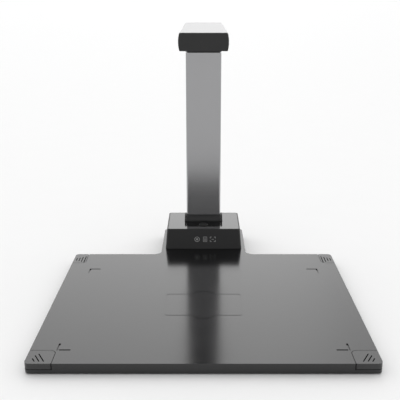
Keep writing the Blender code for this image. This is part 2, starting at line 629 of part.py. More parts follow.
def make_column():
    half, thick = COLUMN_WIDTH / 2, COLUMN_THICK / 2
    outer = rectangle(-half, HINGE_Y - thick, half, HINGE_Y + thick, COLUMN_CORNER_R, 5)
    x, y = half - COLUMN_WALL, thick - COLUMN_WALL
    inner = rectangle(-x, HINGE_Y - y, x, HINGE_Y + y, COLUMN_CORNER_R - COLUMN_WALL)
    tube_mesh = extrude([outer, inner], COLUMN_BOTTOM, COLUMN_TOP)
    tube = add_part("column_tube", tube_mesh, GUNMETAL, column_pivot)

    # Foot: a barrel with a flat top that meets the tube, and a plug inside it.
    flat = COLUMN_BOTTOM - GAP
    reach = math.acos((flat - BASE_AXIS_Z) / KNUCKLE_R)
    arc = [reach + (2 * math.pi - 2 * reach) * step / 32 for step in range(33)]
    barrel = [
        (HINGE_Y + KNUCKLE_R * math.sin(turn), BASE_AXIS_Z + KNUCKLE_R * math.cos(turn))
        for turn in arc
    ]
    foot = add_part(
        "column_foot",
        extrude([barrel], -BASE_KNUCKLE_HALF, BASE_KNUCKLE_HALF, "X"),
        PLASTIC_BLACK,
        column_pivot,
    )
    plug_x, plug_y = x - GAP, y - GAP
    corner = COLUMN_CORNER_R - COLUMN_WALL
    plug = rectangle(-plug_x, HINGE_Y - plug_y, plug_x, HINGE_Y + plug_y, corner)
    combine(foot, extrude([plug], BASE_AXIS_Z + 5 * MM, COLUMN_BOTTOM + PLUG_LENGTH), "UNION")
    bore_knuckle(foot, BASE_AXIS_Z, BASE_KNUCKLE_HALF)

    # Head: the same barrel, narrower, between the arm's ears.
    barrel_mesh = rod("X", (-ARM_KNUCKLE_HALF, HINGE_Y, ARM_AXIS_Z), ARM_KNUCKLE_HALF, KNUCKLE_R, 32)
    head = add_part("column_head", barrel_mesh, PLASTIC_BLACK, column_pivot)
    neck = box(
        (-ARM_KNUCKLE_HALF + 0.2 * MM, HINGE_Y - thick, COLUMN_TOP + GAP),
        (ARM_KNUCKLE_HALF - 0.2 * MM, HINGE_Y + thick, ARM_AXIS_Z),
    )
    combine(head, neck, "UNION")
    combine(head, extrude([plug], COLUMN_TOP - PLUG_LENGTH, COLUMN_TOP), "UNION")
    link = box(
        (-ARM_KNUCKLE_HALF + 2 * MM, HINGE_Y - plug_y, COLUMN_TOP - 2 * MM),
        (ARM_KNUCKLE_HALF - 2 * MM, HINGE_Y + plug_y, COLUMN_TOP + 3 * MM),
    )
    combine(head, link, "UNION")
    bore_knuckle(head, ARM_AXIS_Z, ARM_KNUCKLE_HALF)

    slot_x, slot_y = SLOT_HALF
    for knuckle, axis_z in ((foot, BASE_AXIS_Z), (head, ARM_AXIS_Z)):
        low, high = axis_z - SLOT_REACH, axis_z + SLOT_REACH
        combine(knuckle, box((-slot_x, HINGE_Y - slot_y, low), (slot_x, HINGE_Y + slot_y, high)))

    # Screws from behind, through the tube into the plugs.
    rear_face = HINGE_Y + thick
    head_r, head_height = SCREW_HEAD
    screw_x, screw_z = COLUMN_SCREW
    for word, piece, z in (
        ("foot", foot, COLUMN_BOTTOM + screw_z),
        ("head", head, COLUMN_TOP - screw_z),
    ):
        for hand, side in (("left", -1), ("right", 1)):
            def lying(start, end, radius):
                """A rod along Y at this screw's place, between two distances forward of it."""
                mesh = rod("Z", (0, 0, start), end, radius, 16)
                turn = Matrix.Rotation(math.pi / 2, 4, "X")
                mesh.transform(Matrix.Translation((side * screw_x, rear_face, z)) @ turn)
                return mesh

            for drilled in (piece, tube):
                combine(drilled, lying(-2 * MM, thick, SCREW_R + GAP))
            head_mesh = lying(-(GAP + head_height), -GAP, head_r)
            name = f"column_{word}_screw_{hand}"
            fastener = add_part(name, head_mesh, STEEL, column_pivot)
            combine(fastener, lying(-head_height, thick - 0.5 * MM, SCREW_R), "UNION")

    wide, thin = RIBBON
    low, high = BASE_AXIS_Z - 7 * MM, ARM_AXIS_Z + 7 * MM
    ribbon = box((-wide, HINGE_Y - thin, low), (wide, HINGE_Y + thin, high))
    add_part("column_cable", ribbon, CABLE, column_pivot)


def arm_section(inset, low, high):
    """The arm's cross-section between two heights: flat above and below, bulging at the sides."""
    middle = (ARM_BOTTOM + ARM_TOP) / 2
    half_height = (ARM_TOP - ARM_BOTTOM) / 2

    def side_at(z):
        share = (z - middle) / half_height
        return ARM_HALF_WIDTH + ARM_BULGE * (1 - share**2) - inset

    steps = max(1, round((high - low) / (3 * MM)))
    levels = [low + (high - low) * step / steps for step in range(steps + 1)]
    right = [(side_at(z), z, ARM_CORNER_R if z in (ARM_BOTTOM, ARM_TOP) else 0) for z in levels]
    return rounded(mirrored(right), 3)


def make_arm():
    shell_front, shell_rear = ARM_FRONT + FRONT_CAP, ARM_REAR - REAR_CAP
    seam = ARM_SEAM_Z + GAP
    for name, y0, y1 in (
        ("arm_front_cap", ARM_FRONT, shell_front - GAP),
        ("arm_rear_cap", shell_rear + GAP, ARM_REAR),
    ):
        cap_mesh = extrude([arm_section(0, ARM_BOTTOM, ARM_TOP)], y0, y1, "Y")
        cap = add_part(name, cap_mesh, PLASTIC_BLACK, arm_pivot)
        round_edges(cap, 0.6 * MM, angle=60)
    cover = add_part(
        "arm_top_cover",
        extrude([arm_section(0, seam, ARM_TOP)], shell_front, shell_rear, "Y"),
        GUNMETAL,
        arm_pivot,
    )
    ceiling = ARM_TOP - ARM_WALL
    inside = ARM_HALF_WIDTH - ARM_WALL
    hollow = box((-inside, shell_front - 5 * MM, ARM_BOTTOM), (inside, shell_rear + 5 * MM, ceiling))
    combine(cover, hollow)
    tray = add_part(
        "arm_bottom_cover",
        extrude([arm_section(0, ARM_BOTTOM, ARM_SEAM_Z)], shell_front, shell_rear, "Y"),
        PLASTIC_BLACK,
        arm_pivot,
    )

    # Bracket: two hubs under the arm, whose stems reach through the tray to a plate inside.
    hub_in = ARM_KNUCKLE_HALF + GAP
    front, rear = HINGE_Y - STEM_DEPTH[0], HINGE_Y + STEM_DEPTH[1]
    plate_low, plate_high = ARM_SEAM_Z + GAP, ARM_SEAM_Z + 2.3 * MM
    plate = box((-STEM_OUT, HINGE_Y - ARM_PLATE_FRONT, plate_low), (STEM_OUT, rear, plate_high))
    bracket = add_part("arm_hinge_bracket", plate, PLASTIC_BLACK, arm_pivot)
    for side in (-1, 1):
        x0, x1 = sorted((side * hub_in, side * HUB_OUT))
        hub = rod("X", (x0, HINGE_Y, ARM_AXIS_Z), x1, KNUCKLE_R, 32)
        x0, x1 = sorted((side * hub_in, side * STEM_OUT))
        stem = box((x0, front, ARM_AXIS_Z), (x1, rear, plate_high - 0.5 * MM))
        combine(bracket, stem, "UNION")
        combine(bracket, hub, "UNION")
        low, high = ARM_BOTTOM - 1 * MM, ARM_SEAM_Z + 1 * MM
        combine(tray, box((x0 - GAP, front - GAP, low), (x1 + GAP, rear + GAP, high)))
    combine(bracket, rod("X", (-30 * MM, HINGE_Y, ARM_AXIS_Z), 30 * MM, PIN_R + GAP))
    make_pins("arm", ARM_AXIS_Z, ARM_KNUCKLE_HALF, HUB_OUT, arm_pivot)
    slot_x, slot_y = SLOT_HALF
    for piece in (bracket, tray):
        slot = box((-slot_x, HINGE_Y - 2 * slot_y, ARM_AXIS_Z), (slot_x, HINGE_Y + slot_y, ceiling))
        combine(piece, slot)

    # Four screws from below: two take the tray, two the tray and the bracket.
    below = ARM_BOTTOM - 1 * MM
    head_seat = ARM_BOTTOM + HEAD_SEAT
    head_r, hole_r = SCREW_HEAD[0] + GAP, SCREW_R + GAP
    for row, y, boss_low in (
        ("front", LED_Y + 18 * MM, seam),
        ("rear", HINGE_Y - 18 * MM, plate_high + GAP),
    ):
        for word, side in (("left", -1), ("right", 1)):
            x = side * ARM_SCREW_X
            combine(cover, rod("Z", (x, y, boss_low), ceiling + 0.5 * MM, 3 * MM), "UNION")
            combine(cover, rod("Z", (x, y, boss_low - 1 * MM), ceiling - 1 * MM, hole_r, 16))
            combine(tray, rod("Z", (x, y, below), head_seat, head_r))
            combine(tray, rod("Z", (x, y, below), ARM_SEAM_Z + 1 * MM, hole_r, 16))
            if row == "rear":
                combine(bracket, rod("Z", (x, y, ARM_BOTTOM), plate_high + 1 * MM, hole_r, 16))
            screw(f"arm_screw_{row}_{word}", (x, y, ARM_BOTTOM), ceiling - 2 * MM, arm_pivot)
    make_camera(tray, ceiling)


def make_camera(tray, ceiling):
    """The camera looks straight down through a window in the tray, with a lamp strip behind it."""
    def on_arm(name, mesh, look):
        return add_part(name, mesh, look, arm_pivot)

    def lens_rod(low, high, radius, sides=32):
        return rod("Z", (0, LENS_Y, low), high, radius, sides)

    def centred(y, half_x, front, rear, low, high):
        """A box across the arm's middle, from a distance in front of y to one behind it."""
        return box((-half_x, y - front, low), (half_x, y + rear, high))

    below = ARM_BOTTOM - 1 * MM
    board_high = ceiling - 2.6 * MM
    board_low = board_high - 1.2 * MM
    board = centred(LENS_Y, 20 * MM, 9 * MM, 16 * MM, board_low, board_high)
    on_arm("camera_board", board, CIRCUIT)
    sensor_low = board_low - 1.3 * MM
    sensor = centred(LENS_Y, 4 * MM, 3 * MM, 3 * MM, sensor_low, board_low - GAP)
    on_arm("image_sensor", sensor, CHIP)

    half = HOLDER_HALF
    body = centred(LENS_Y, half, half, half, ARM_SEAM_Z + 2.5 * MM, board_low - GAP)
    holder = on_arm("lens_holder", body, PLASTIC_BLACK)
    wide, deep = 4.6 * MM, 3.6 * MM
    combine(holder, centred(LENS_Y, wide, deep, deep, sensor_low - 1 * MM, ceiling))
    combine(holder, lens_rod(ARM_BOTTOM, sensor_low - 0.6 * MM, BARREL_R + GAP))
    barrel_mesh = lens_rod(ARM_SEAM_Z + GAP, sensor_low - 1.2 * MM, BARREL_R)
    barrel = on_arm("lens_barrel", barrel_mesh, CHIP)
    combine(barrel, lens_rod(ARM_BOTTOM, ARM_SEAM_Z + 3 * MM, GLASS_R + GAP, ROUND))
    combine(barrel, lens_rod(ARM_BOTTOM, ceiling, 2.5 * MM, ROUND))
    lens = lens_rod(ARM_SEAM_Z + 1 * MM, ARM_SEAM_Z + 2.7 * MM, GLASS_R, ROUND)
    on_arm("front_lens", lens, GLASS)

    window_seat = ARM_BOTTOM + 1.5 * MM
    combine(tray, lens_rod(below, window_seat, WINDOW_R + GAP))
    combine(tray, lens_rod(below, ARM_SEAM_Z + 1 * MM, WINDOW_R - 2 * MM))
    on_arm("lens_window", lens_rod(ARM_BOTTOM + 0.2 * MM, window_seat - GAP, WINDOW_R), GLASS)

    long, wide = LED_HALF
    lamp = rectangle(-long, LED_Y - wide, long, LED_Y + wide, wide * 0.99)
    grown = wide + GAP
    hole = rectangle(-long - GAP, LED_Y - grown, long + GAP, LED_Y + grown, grown * 0.99)
    combine(tray, extrude([hole], below, ARM_SEAM_Z + 1 * MM))
    on_arm("led_diffuser", extrude([lamp], ARM_BOTTOM + 0.2 * MM, ARM_SEAM_Z), DIFFUSER)
    led_low = ARM_SEAM_Z + 2.4 * MM
    led_board = centred(LED_Y, 20 * MM, 5 * MM, 5 * MM, led_low, led_low + 1.2 * MM)
    on_arm("led_board", led_board, CIRCUIT)

    wide, thin = RIBBON
    front, rear = LENS_Y + 12 * MM, HINGE_Y - 8 * MM
    ribbon_low = board_low - 3 * MM
    ribbon = box((-wide, front, ribbon_low), (wide, rear, ribbon_low + 2 * thin))
    on_arm("arm_cable", ribbon, CABLE)


def add_pivot(name, place, parent=None):
    """An empty on a joint's axis; it carries what turns or slides there."""
    pivot = bpy.data.objects.new(name, None)
    pivot.empty_display_size = 0.02
    pivot.location = place
    parts.objects.link(pivot)
    if parent:
        pivot.parent = parent
        pivot.matrix_parent_inverse = Matrix.Translation(-parent.location)
    return pivot


clear_scene()
parts = new_collection("document_camera")
cutters = new_collection("cutters")
button_pivot = add_pivot("button_pivot", (0, BUTTON_Y, BLOCK_TOP))
column_pivot = add_pivot("column_pivot", (0, HINGE_Y, BASE_AXIS_Z))
arm_pivot = add_pivot("arm_pivot", (0, HINGE_Y, ARM_AXIS_Z), column_pivot)
make_board()
make_block()
make_base_hinge()
make_column()
make_arm()
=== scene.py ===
import json
import math

import bmesh
import bpy
from mathutils import Matrix, Vector


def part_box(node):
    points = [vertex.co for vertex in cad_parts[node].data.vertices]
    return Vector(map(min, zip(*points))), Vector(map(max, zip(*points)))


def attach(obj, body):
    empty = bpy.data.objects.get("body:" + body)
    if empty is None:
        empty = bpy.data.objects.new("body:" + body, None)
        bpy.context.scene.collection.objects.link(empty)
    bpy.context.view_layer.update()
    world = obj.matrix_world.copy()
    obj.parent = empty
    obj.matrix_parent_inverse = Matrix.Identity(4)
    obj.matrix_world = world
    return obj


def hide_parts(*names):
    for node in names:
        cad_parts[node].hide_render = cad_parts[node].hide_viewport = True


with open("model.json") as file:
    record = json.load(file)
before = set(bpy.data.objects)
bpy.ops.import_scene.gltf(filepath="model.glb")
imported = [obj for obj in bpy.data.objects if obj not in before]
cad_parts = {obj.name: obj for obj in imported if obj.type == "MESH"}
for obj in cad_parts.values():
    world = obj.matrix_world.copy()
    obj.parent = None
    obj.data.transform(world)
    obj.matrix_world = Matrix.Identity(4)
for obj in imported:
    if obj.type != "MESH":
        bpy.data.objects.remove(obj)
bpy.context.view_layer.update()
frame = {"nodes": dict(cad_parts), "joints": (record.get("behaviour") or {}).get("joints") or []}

MM = 0.001
scene = bpy.context.scene


# Studio: a pale floor under a white dome that is brightest in a ring above the horizon, like the
# strip lights round a product table. The camera stands in front of the board and looks down at it.
class Wire:
    """One output of a node; sums and products of wires add the Math nodes for them."""

    def __init__(self, nodes, socket):
        self.nodes, self.socket = nodes, socket

    def math(self, operation, *values):
        return self.nodes.node("Math", {"operation": operation}, dict(enumerate(values)))

    def __add__(self, other):
        return self.math("ADD", self, other)

    def __sub__(self, other):
        return self.math("SUBTRACT", self, other)

    def __rsub__(self, other):
        return self.math("SUBTRACT", other, self)

    def __mul__(self, other):
        return self.math("MULTIPLY", self, other)

    def __truediv__(self, other):
        return self.math("DIVIDE", self, other)

    def __pow__(self, other):
        return self.math("POWER", self, other)

    def __gt__(self, other):
        return self.math("GREATER_THAN", self, other)

    __radd__ = __add__
    __rmul__ = __mul__


class Nodes:
    """A node tree with one method that adds any node."""

    def __init__(self, tree):
        self.tree = tree

    def node(self, kind, settings=None, sockets=None, output=0):
        """Settings go on first, then each socket's value or link; gives one of the outputs."""
        made = self.tree.nodes.new("ShaderNode" + kind)
        for name, value in (settings or {}).items():
            if name == "stops":
                stops = made.color_ramp.elements
                used = [stops[0], *(stops.new(place) for place, level in value[1:-1]), stops[-1]]
                for stop, (place, level) in zip(used, value):
                    stop.position = place
                    stop.color = (level, level, level, 1)
            else:
                setattr(made, name, value)
        for name, value in (sockets or {}).items():
            self.feed(made.inputs[name], value)
        return Wire(self, made.outputs[output])

    def feed(self, socket, value):
        if isinstance(value, Wire):
            self.tree.links.new(value.socket, socket)
        elif socket.type == "RGBA" and len(value) == 3:
            socket.default_value = (*value, 1)
        else:
            socket.default_value = value

    def mix(self, share, first, second):
        """A colour between two others."""
        return self.node("Mix", {"data_type": "RGBA"}, {0: share, 6: first, 7: second}, output=2)

    def ramp(self, value, stops):
        return self.node("ValToRGB", {"stops": stops}, {0: value})


sky = scene.world or bpy.data.worlds.new("studio")
scene.world = sky
sky.use_nodes = True
dome = Nodes(sky.node_tree)
direction = dome.node("TexCoord", output="Generated")
across = dome.node("SeparateXYZ", None, {0: direction}, output="X")
behind = dome.node("SeparateXYZ", None, {0: direction}, output="Y")
height = dome.node("SeparateXYZ", None, {0: direction}, output="Z")
RING, SHADE = 2.2, 0.7  # brightness of the lights behind the board, and of the dark camera side
HORIZON = 1.02
ring_stops = [(0.0, 0.0), (0.12, 0.04), (0.3, 0.72), (0.52, 1.0), (0.8, 0.7), (1.0, 0.5)]
spread_stops = [
    (0.3, 0.52), (0.4, 0.82), (0.5, 1.0), (0.55, 1.0), (0.58, 0.9), (0.61, 0.6), (0.64, 0.5),
]
ring = dome.ramp(height, ring_stops)
spread = dome.ramp(across * 0.5 + 0.5, spread_stops)
back = dome.ramp(behind * 0.5 + 0.5, [(0.4, 0.0), (0.75, 1.0)])
lights = back * spread * (RING - 1) - (1 - back) * (1 - SHADE)
brightness = ring * lights + HORIZON
background = next(n for n in sky.node_tree.nodes if n.type == "BACKGROUND")
background.inputs["Color"].default_value = (1, 1, 1, 1)
dome.feed(background.inputs["Strength"], brightness)


class Finish(Nodes):
    """A material for one finish, with its constants on the Principled shader's own sockets."""

    def __init__(self, name, constants=None):
        self.material = bpy.data.materials.new(name)
        self.material.use_nodes = True
        super().__init__(self.material.node_tree)
        self.shader = self.tree.nodes["Principled BSDF"]
        self.place = self.node("TexCoord", output="Object")
        self.shade(constants or {})

    def shade(self, values):
        for name, value in values.items():
            self.feed(self.shader.inputs[name], value)

    def grain(self, size, stretch=(1, 1, 1), detail=2):
        """Noise with features of a size in metres, drawn out along the axes by a stretch."""
        scale = tuple(1 / (size * share) for share in stretch)
        spot = self.node("VectorMath", {"operation": "MULTIPLY"}, {0: self.place, 1: scale})
        return self.node("TexNoise", None, {"Vector": spot, "Scale": 1, "Detail": detail})

    def relief(self, height, depth):
        """A bump whose full height is a depth in metres."""
        return self.node("Bump", None, {"Strength": 1, "Distance": depth, "Height": height})


def disc(name, radius, z):
    bm = bmesh.new()
    bmesh.ops.create_circle(bm, cap_ends=True, segments=96, radius=radius)
    bmesh.ops.translate(bm, vec=(0, 0, z), verts=bm.verts)
    mesh = bpy.data.meshes.new(name)
    bm.to_mesh(mesh)
    bm.free()
    return bpy.data.objects.new(name, mesh)


FLOOR_RADIUS = 40
floor_finish = Finish("pale_floor", {"Roughness": 0.6, "Specular IOR Level": 0.2})
paper = floor_finish.grain(60 * MM)
floor_finish.shade({"Base Color": floor_finish.mix(paper, (0.83, 0.83, 0.83), (0.84, 0.84, 0.84))})
floor = disc("floor", FLOOR_RADIUS, -0.02 * MM)
floor.data.materials.append(floor_finish.material)
scene.collection.objects.link(floor)

lens = bpy.data.cameras.new("camera")
lens.lens = 60.2
lens.shift_x = -0.0088
lens.clip_end = 100
scene.camera = bpy.data.objects.new("camera", lens)
scene.collection.objects.link(scene.camera)
scene.camera.location = (0, -0.7698, 0.3557)
scene.camera.rotation_euler = (math.radians(72.88), 0, 0)
scene.view_settings.view_transform = "Standard"


# Board cover: a T-shaped moulding of glossy black plastic, open below, with a pocket in each
# corner of the page area. An A4 page's corners and a card's outline are engraved in its top.
def rounded(corners, steps=10):
    """An outline's points, each (x, y, radius) corner rounded with an arc."""
    points = []
    for i, (x, y, radius) in enumerate(corners):
        corner = Vector((x, y))
        before = (Vector(corners[i - 1][:2]) - corner).normalized()
        after = (Vector(corners[(i + 1) % len(corners)][:2]) - corner).normalized()
        if radius <= 0:
            points.append(corner)
            continue
        half = before.angle(after) / 2
        centre = corner + (before + after).normalized() * radius / math.sin(half)
        first = corner + before * radius / math.tan(half) - centre
        last = corner + after * radius / math.tan(half) - centre
        sweep = first.angle_signed(last)
        for step in range(steps + 1):
            points.append(centre + Matrix.Rotation(-sweep * step / steps, 2) @ first)
    return points


def rectangle(x0, y0, x1, y1, radius=0.0, steps=10):
    return rounded([(x0, y0, radius), (x1, y0, radius), (x1, y1, radius), (x0, y1, radius)], steps)


def circle(x, y, radius, steps=48):
    turns = (2 * math.pi * step / steps for step in range(steps))
    return [(x + radius * math.cos(turn), y + radius * math.sin(turn)) for turn in turns]


def mirrored(half):
    """A closed outline from the corners of its +X half."""
    return half + [(-x, y, radius) for x, y, radius in reversed(half)]


def prism(outlines, low, high, along="Z"):
    """A flat outline, with any holes, given a thickness along Z, X or Y."""
    curve = bpy.data.curves.new("outline", "CURVE")
    curve.dimensions = "2D"
    curve.fill_mode = "BOTH"
    curve.extrude = (high - low) / 2
    for points in outlines:
        spline = curve.splines.new("POLY")
        spline.points.add(len(points) - 1)
        for slot, point in zip(spline.points, points):
            slot.co = (point[0], point[1], 0, 1)
        spline.use_cyclic_u = True
    guide = bpy.data.objects.new("outline", curve)
    scene.collection.objects.link(guide)
    shape = guide.evaluated_get(bpy.context.evaluated_depsgraph_get())
    mesh = bpy.data.meshes.new_from_object(shape)
    bpy.data.objects.remove(guide)
    turns = {
        "Z": Matrix.Identity(4),
        "X": Matrix(((0, 0, 1, 0), (1, 0, 0, 0), (0, 1, 0, 0), (0, 0, 0, 1))),
        "Y": Matrix(((1, 0, 0, 0), (0, 0, -1, 0), (0, 1, 0, 0), (0, 0, 0, 1))),
    }
    middle = (low + high) / 2
    shift = {"Z": (0, 0, middle), "X": (middle, 0, 0), "Y": (0, middle, 0)}[along]
    bm = bmesh.new()
    bm.from_mesh(mesh)
    bmesh.ops.remove_doubles(bm, verts=bm.verts, dist=1e-6)
    bmesh.ops.transform(bm, matrix=Matrix.Translation(shift) @ turns[along], verts=bm.verts)
    bmesh.ops.recalc_face_normals(bm, faces=bm.faces)
    if bm.calc_volume(signed=True) < 0:
        bmesh.ops.reverse_faces(bm, faces=bm.faces)
    bm.to_mesh(mesh)
    bm.free()
    return mesh


def block(low, high):
    """A cuboid cutter between two corners."""
    return prism([rectangle(low[0], low[1], high[0], high[1])], low[2], high[2])


def build(name, mesh):
    thing = bpy.data.objects.new(name, mesh)
    scene.collection.objects.link(thing)
    return thing


def settle(thing):
    """Fix the result of the modifiers into the mesh."""
    shape = thing.evaluated_get(bpy.context.evaluated_depsgraph_get())
    mesh = bpy.data.meshes.new_from_object(shape)
    thing.modifiers.clear()
    thing.data = mesh


def carve(thing, *meshes, operation="DIFFERENCE"):
    """Cut meshes from a piece, or join them on."""
    for mesh in meshes:
        tool = build("tool", mesh)
        step = thing.modifiers.new("carve", "BOOLEAN")
        step.operation = operation
        step.solver = "EXACT"
        step.object = tool
        settle(thing)
        bpy.data.objects.remove(tool)


def soften(thing, width, segments=3, angle=50):
    """Round every edge that is sharper than an angle."""
    step = thing.modifiers.new("soften", "BEVEL")
    step.width = width
    step.segments = segments
    step.limit_method = "ANGLE"
    step.angle_limit = math.radians(angle)
    settle(thing)


def fit(thing, finishes, body, slot, *nodes):
    """Give a piece its finishes and join it to the frame, in place of its CAD solids."""
    thing.data.materials.clear()
    for finish in finishes:
        thing.data.materials.append(finish.material)
    thing.data.shade_smooth()
    thing.data.set_sharp_from_angle(angle=math.radians(36))
    thing.modifiers.new("even_normals", "WEIGHTED_NORMAL").keep_sharp = True
    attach(thing, body)
    if nodes:
        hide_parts(*nodes)


GAP = 0.3 * MM
cover_low, cover_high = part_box("base_top_cover")
board_top = cover_high.z
board_front = cover_low.y
board_side = cover_high.x
board_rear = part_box("rear_pad_left")[1].y
seat_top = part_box("base_bottom_cover")[1].z + GAP
TAB_HALF, TAB_FILLET = 58.5 * MM, 10 * MM
BOARD_CORNER, PAD_CORNER, PAD_INNER = 5 * MM, 1.2 * MM, 6 * MM
COVER_WALL = 2.2 * MM
ceiling = board_top - COVER_WALL
pads = {}
for row in ("front", "rear"):
    for hand in ("left", "right"):
        pads[row, hand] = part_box(f"{row}_pad_{hand}")
front_pad_edge = pads["front", "right"][0].x
rear_pad_depth = board_rear - pads["rear", "right"][0].y
front_pad_depth = pads["front", "right"][1].y - board_front


def board_outline(inset):
    """The T of the board, drawn in from its edge by an inset."""
    outer = max(BOARD_CORNER - inset, 1 * MM)
    side, tab = board_side - inset, TAB_HALF - inset
    return rounded(mirrored([
        (side, board_front + inset, outer),
        (side, board_rear - inset, outer),
        (tab, board_rear - inset, TAB_FILLET + inset),
        (tab, cover_high.y - inset, outer),
    ]))


def pad_outline(row, hand, grow=0.0):
    """A pad in one corner of the board; grow widens it into the pocket that holds it."""
    low, high = pads[row, hand]
    side = 1 if hand == "right" else -1
    inner = min(abs(low.x), abs(high.x)) - grow
    beyond = 3 * MM if grow else 0
    y_out = board_rear + beyond if row == "rear" else board_front - beyond
    y_in = low.y - grow if row == "rear" else high.y + grow
    corners = [
        (inner, y_out, PAD_CORNER),
        (board_side + beyond, y_out, 1 * MM if grow else BOARD_CORNER),
        (board_side + beyond, y_in, PAD_CORNER),
        (inner, y_in, PAD_INNER + grow),
    ]
    return rounded([(side * x, y, radius) for x, y, radius in corners])


PAGE_SIDE, PAGE_DEPTH = 148.5 * MM, 210 * MM
PAGE_FRONT = board_front + 25.4 * MM
PAGE_REAR = PAGE_FRONT + PAGE_DEPTH
CARD_HALF_WIDTH, CARD_HALF_DEPTH, CARD_CORNER = 43.5 * MM, 27.5 * MM, 3 * MM
NOTCH_HALF, NOTCH_RISE = 13 * MM, 8 * MM


def card_outline(grow):
    """A card with a finger notch swelling out of its front and rear sides."""
    wide, deep = CARD_HALF_WIDTH + grow, CARD_HALF_DEPTH + grow
    radius = (NOTCH_HALF**2 + NOTCH_RISE**2) / (2 * NOTCH_RISE)
    centre = CARD_HALF_DEPTH + NOTCH_RISE - radius
    radius += grow
    reach = math.acos((deep - centre) / radius)
    angles = [reach * (step / 16 - 1) for step in range(33)]
    rear = [Vector((-radius * math.sin(turn), centre + radius * math.cos(turn))) for turn in angles]
    corners = rectangle(-wide, -deep, wide, deep, CARD_CORNER + grow, 8)
    half = len(corners) // 4
    front = [-point for point in rear]
    points = corners[:half] + front + corners[half:3 * half] + rear + corners[3 * half:]
    return [point + Vector((0, PAGE_FRONT + PAGE_DEPTH / 2)) for point in points]


cover = build("page_board", prism([board_outline(0)], cover_low.z, board_top))
PAD_GAP = 0.6 * MM
pocket_floor = pads["front", "left"][0].z - PAD_GAP
for row, hand in pads:
    carve(cover, prism([pad_outline(row, hand, PAD_GAP)], pocket_floor, board_top + 2 * MM))
soften(cover, 0.6 * MM)
carve(cover, prism([board_outline(COVER_WALL)], 0, seat_top))
CAVITY, CAVITY_LOW = 2.6 * MM, 2 * MM
cavity_side = front_pad_edge - CAVITY
cavity = [
    (cavity_side, board_front + CAVITY, 0),
    (cavity_side, board_rear - CAVITY, 0),
    (TAB_HALF - CAVITY, board_rear - CAVITY, 0),
    (TAB_HALF - CAVITY, cover_high.y - CAVITY, 0),
]
carve(cover, prism([rounded(mirrored(cavity))], CAVITY_LOW, ceiling))
for side in (-1, 1):
    x0, x1 = sorted((side * (front_pad_edge - 5 * MM), side * (board_side - CAVITY)))
    y0 = board_front + front_pad_depth + CAVITY
    y1 = board_rear - rear_pad_depth - CAVITY
    carve(cover, block((x0, y0, CAVITY_LOW), (x1, y1, ceiling - 0.1 * MM)))

# Engraved marks: the page's four corners, and the card's outline more finely.
MARK_ARM, MARK_WIDTH, MARK_DEPTH = 14 * MM, 2 * MM, 1.1 * MM
CARD_WIDTH, CARD_DEPTH = 1 * MM, 0.3 * MM
ell = [
    (0, 0), (MARK_ARM, 0), (MARK_ARM, MARK_WIDTH),
    (MARK_WIDTH, MARK_WIDTH), (MARK_WIDTH, MARK_ARM), (0, MARK_ARM),
]
for side in (-1, 1):
    for y, inward in ((PAGE_FRONT, 1), (PAGE_REAR, -1)):
        points = [(side * (PAGE_SIDE - u), y + inward * v) for u, v in ell]
        carve(cover, prism([points], board_top - MARK_DEPTH, board_top + 1 * MM))
outlines = [card_outline(CARD_WIDTH / 2), card_outline(-CARD_WIDTH / 2)]
carve(cover, prism(outlines, board_top - CARD_DEPTH, board_top + 1 * MM))

board_gloss = Finish("board_gloss", {"IOR": 1.58})
haze = board_gloss.grain(45 * MM, detail=4)
peel = board_gloss.grain(1.6 * MM)
board_gloss.shade({
    "Base Color": board_gloss.mix(haze, (0.005, 0.005, 0.0054), (0.0075, 0.0075, 0.008)),
    "Roughness": 0.14 + haze * 0.05,
    "Normal": board_gloss.relief(peel, 0.004 * MM),
})
# Painted shade: a dull black of little gloss, laid in the board's marks and the pads' grooves to darken
# them.
groove_painted_shade = Finish("groove_painted_shade", {"Specular IOR Level": 0.15})
shade_grain = groove_painted_shade.grain(0.4 * MM)
groove_painted_shade.shade({
    "Base Color": groove_painted_shade.mix(shade_grain, (0.005, 0.005, 0.005), (0.010, 0.010, 0.010)),
    "Roughness": 0.7 + shade_grain * 0.2,
})
fit(cover, [board_gloss, groove_painted_shade], "base", "board_plastic", "base_top_cover")
# Painted shade: the page corners' front and rear walls get the dull black; the rest of their grooves
# has the gloss.
for face in cover.data.polygons:
    x, y, z = face.center
    on_mark = -0.1 * MM < PAGE_SIDE - abs(x) < MARK_ARM + 0.1 * MM
    near_page_edge = min(abs(y - PAGE_FRONT), abs(y - PAGE_REAR)) < MARK_ARM + 0.1 * MM
    in_depth = board_top - MARK_DEPTH < z < board_top - 0.05 * MM
    if on_mark and near_page_edge and in_depth and abs(face.normal.y) > 0.7:
        face.material_index = 1


# Corner pads: four slips of semi-gloss black plastic in the board's corner pockets, grooved so
# that a fingertip finds them. The front grooves slant, the rear ones run straight back.
GROOVE_WIDTH, GROOVE_DEPTH = 1.2 * MM, 1.2 * MM
FRONT_GROOVES, FRONT_PITCH, SLANT = (7 * MM, 13.5 * MM, 17 * MM), 4.6 * MM, math.radians(29)
FRONT_START = Vector((board_side - 9.9 * MM, board_front + 4 * MM))
REAR_GROOVES, REAR_PITCH = (9 * MM, 13 * MM, 17.5 * MM, 21.5 * MM), 3.7 * MM
REAR_START = Vector((board_side - 3.9 * MM, board_rear - 19.3 * MM))


def groove(spot, length, turn):
    """A round-ended slot, turned about its middle."""
    half = GROOVE_WIDTH / 2
    shape = rectangle(-half, -length / 2, half, length / 2, half * 0.99, 6)
    mesh = prism([shape], board_top - GROOVE_DEPTH, board_top + GROOVE_DEPTH)
    mesh.transform(Matrix.Translation((*spot, 0)) @ Matrix.Rotation(turn, 4, "Z"))
    return mesh


def in_groove(point, spot, length, turn):
    """Whether a point of the pad is on the floor or the wall of a groove."""
    across, along = Matrix.Rotation(-turn, 2) @ (point.xy - spot)
    reach = 0.05 * MM
    inside = abs(across) < GROOVE_WIDTH / 2 + reach and abs(along) < length / 2 + reach
    return inside and board_top - GROOVE_DEPTH - reach < point.z < board_top - reach


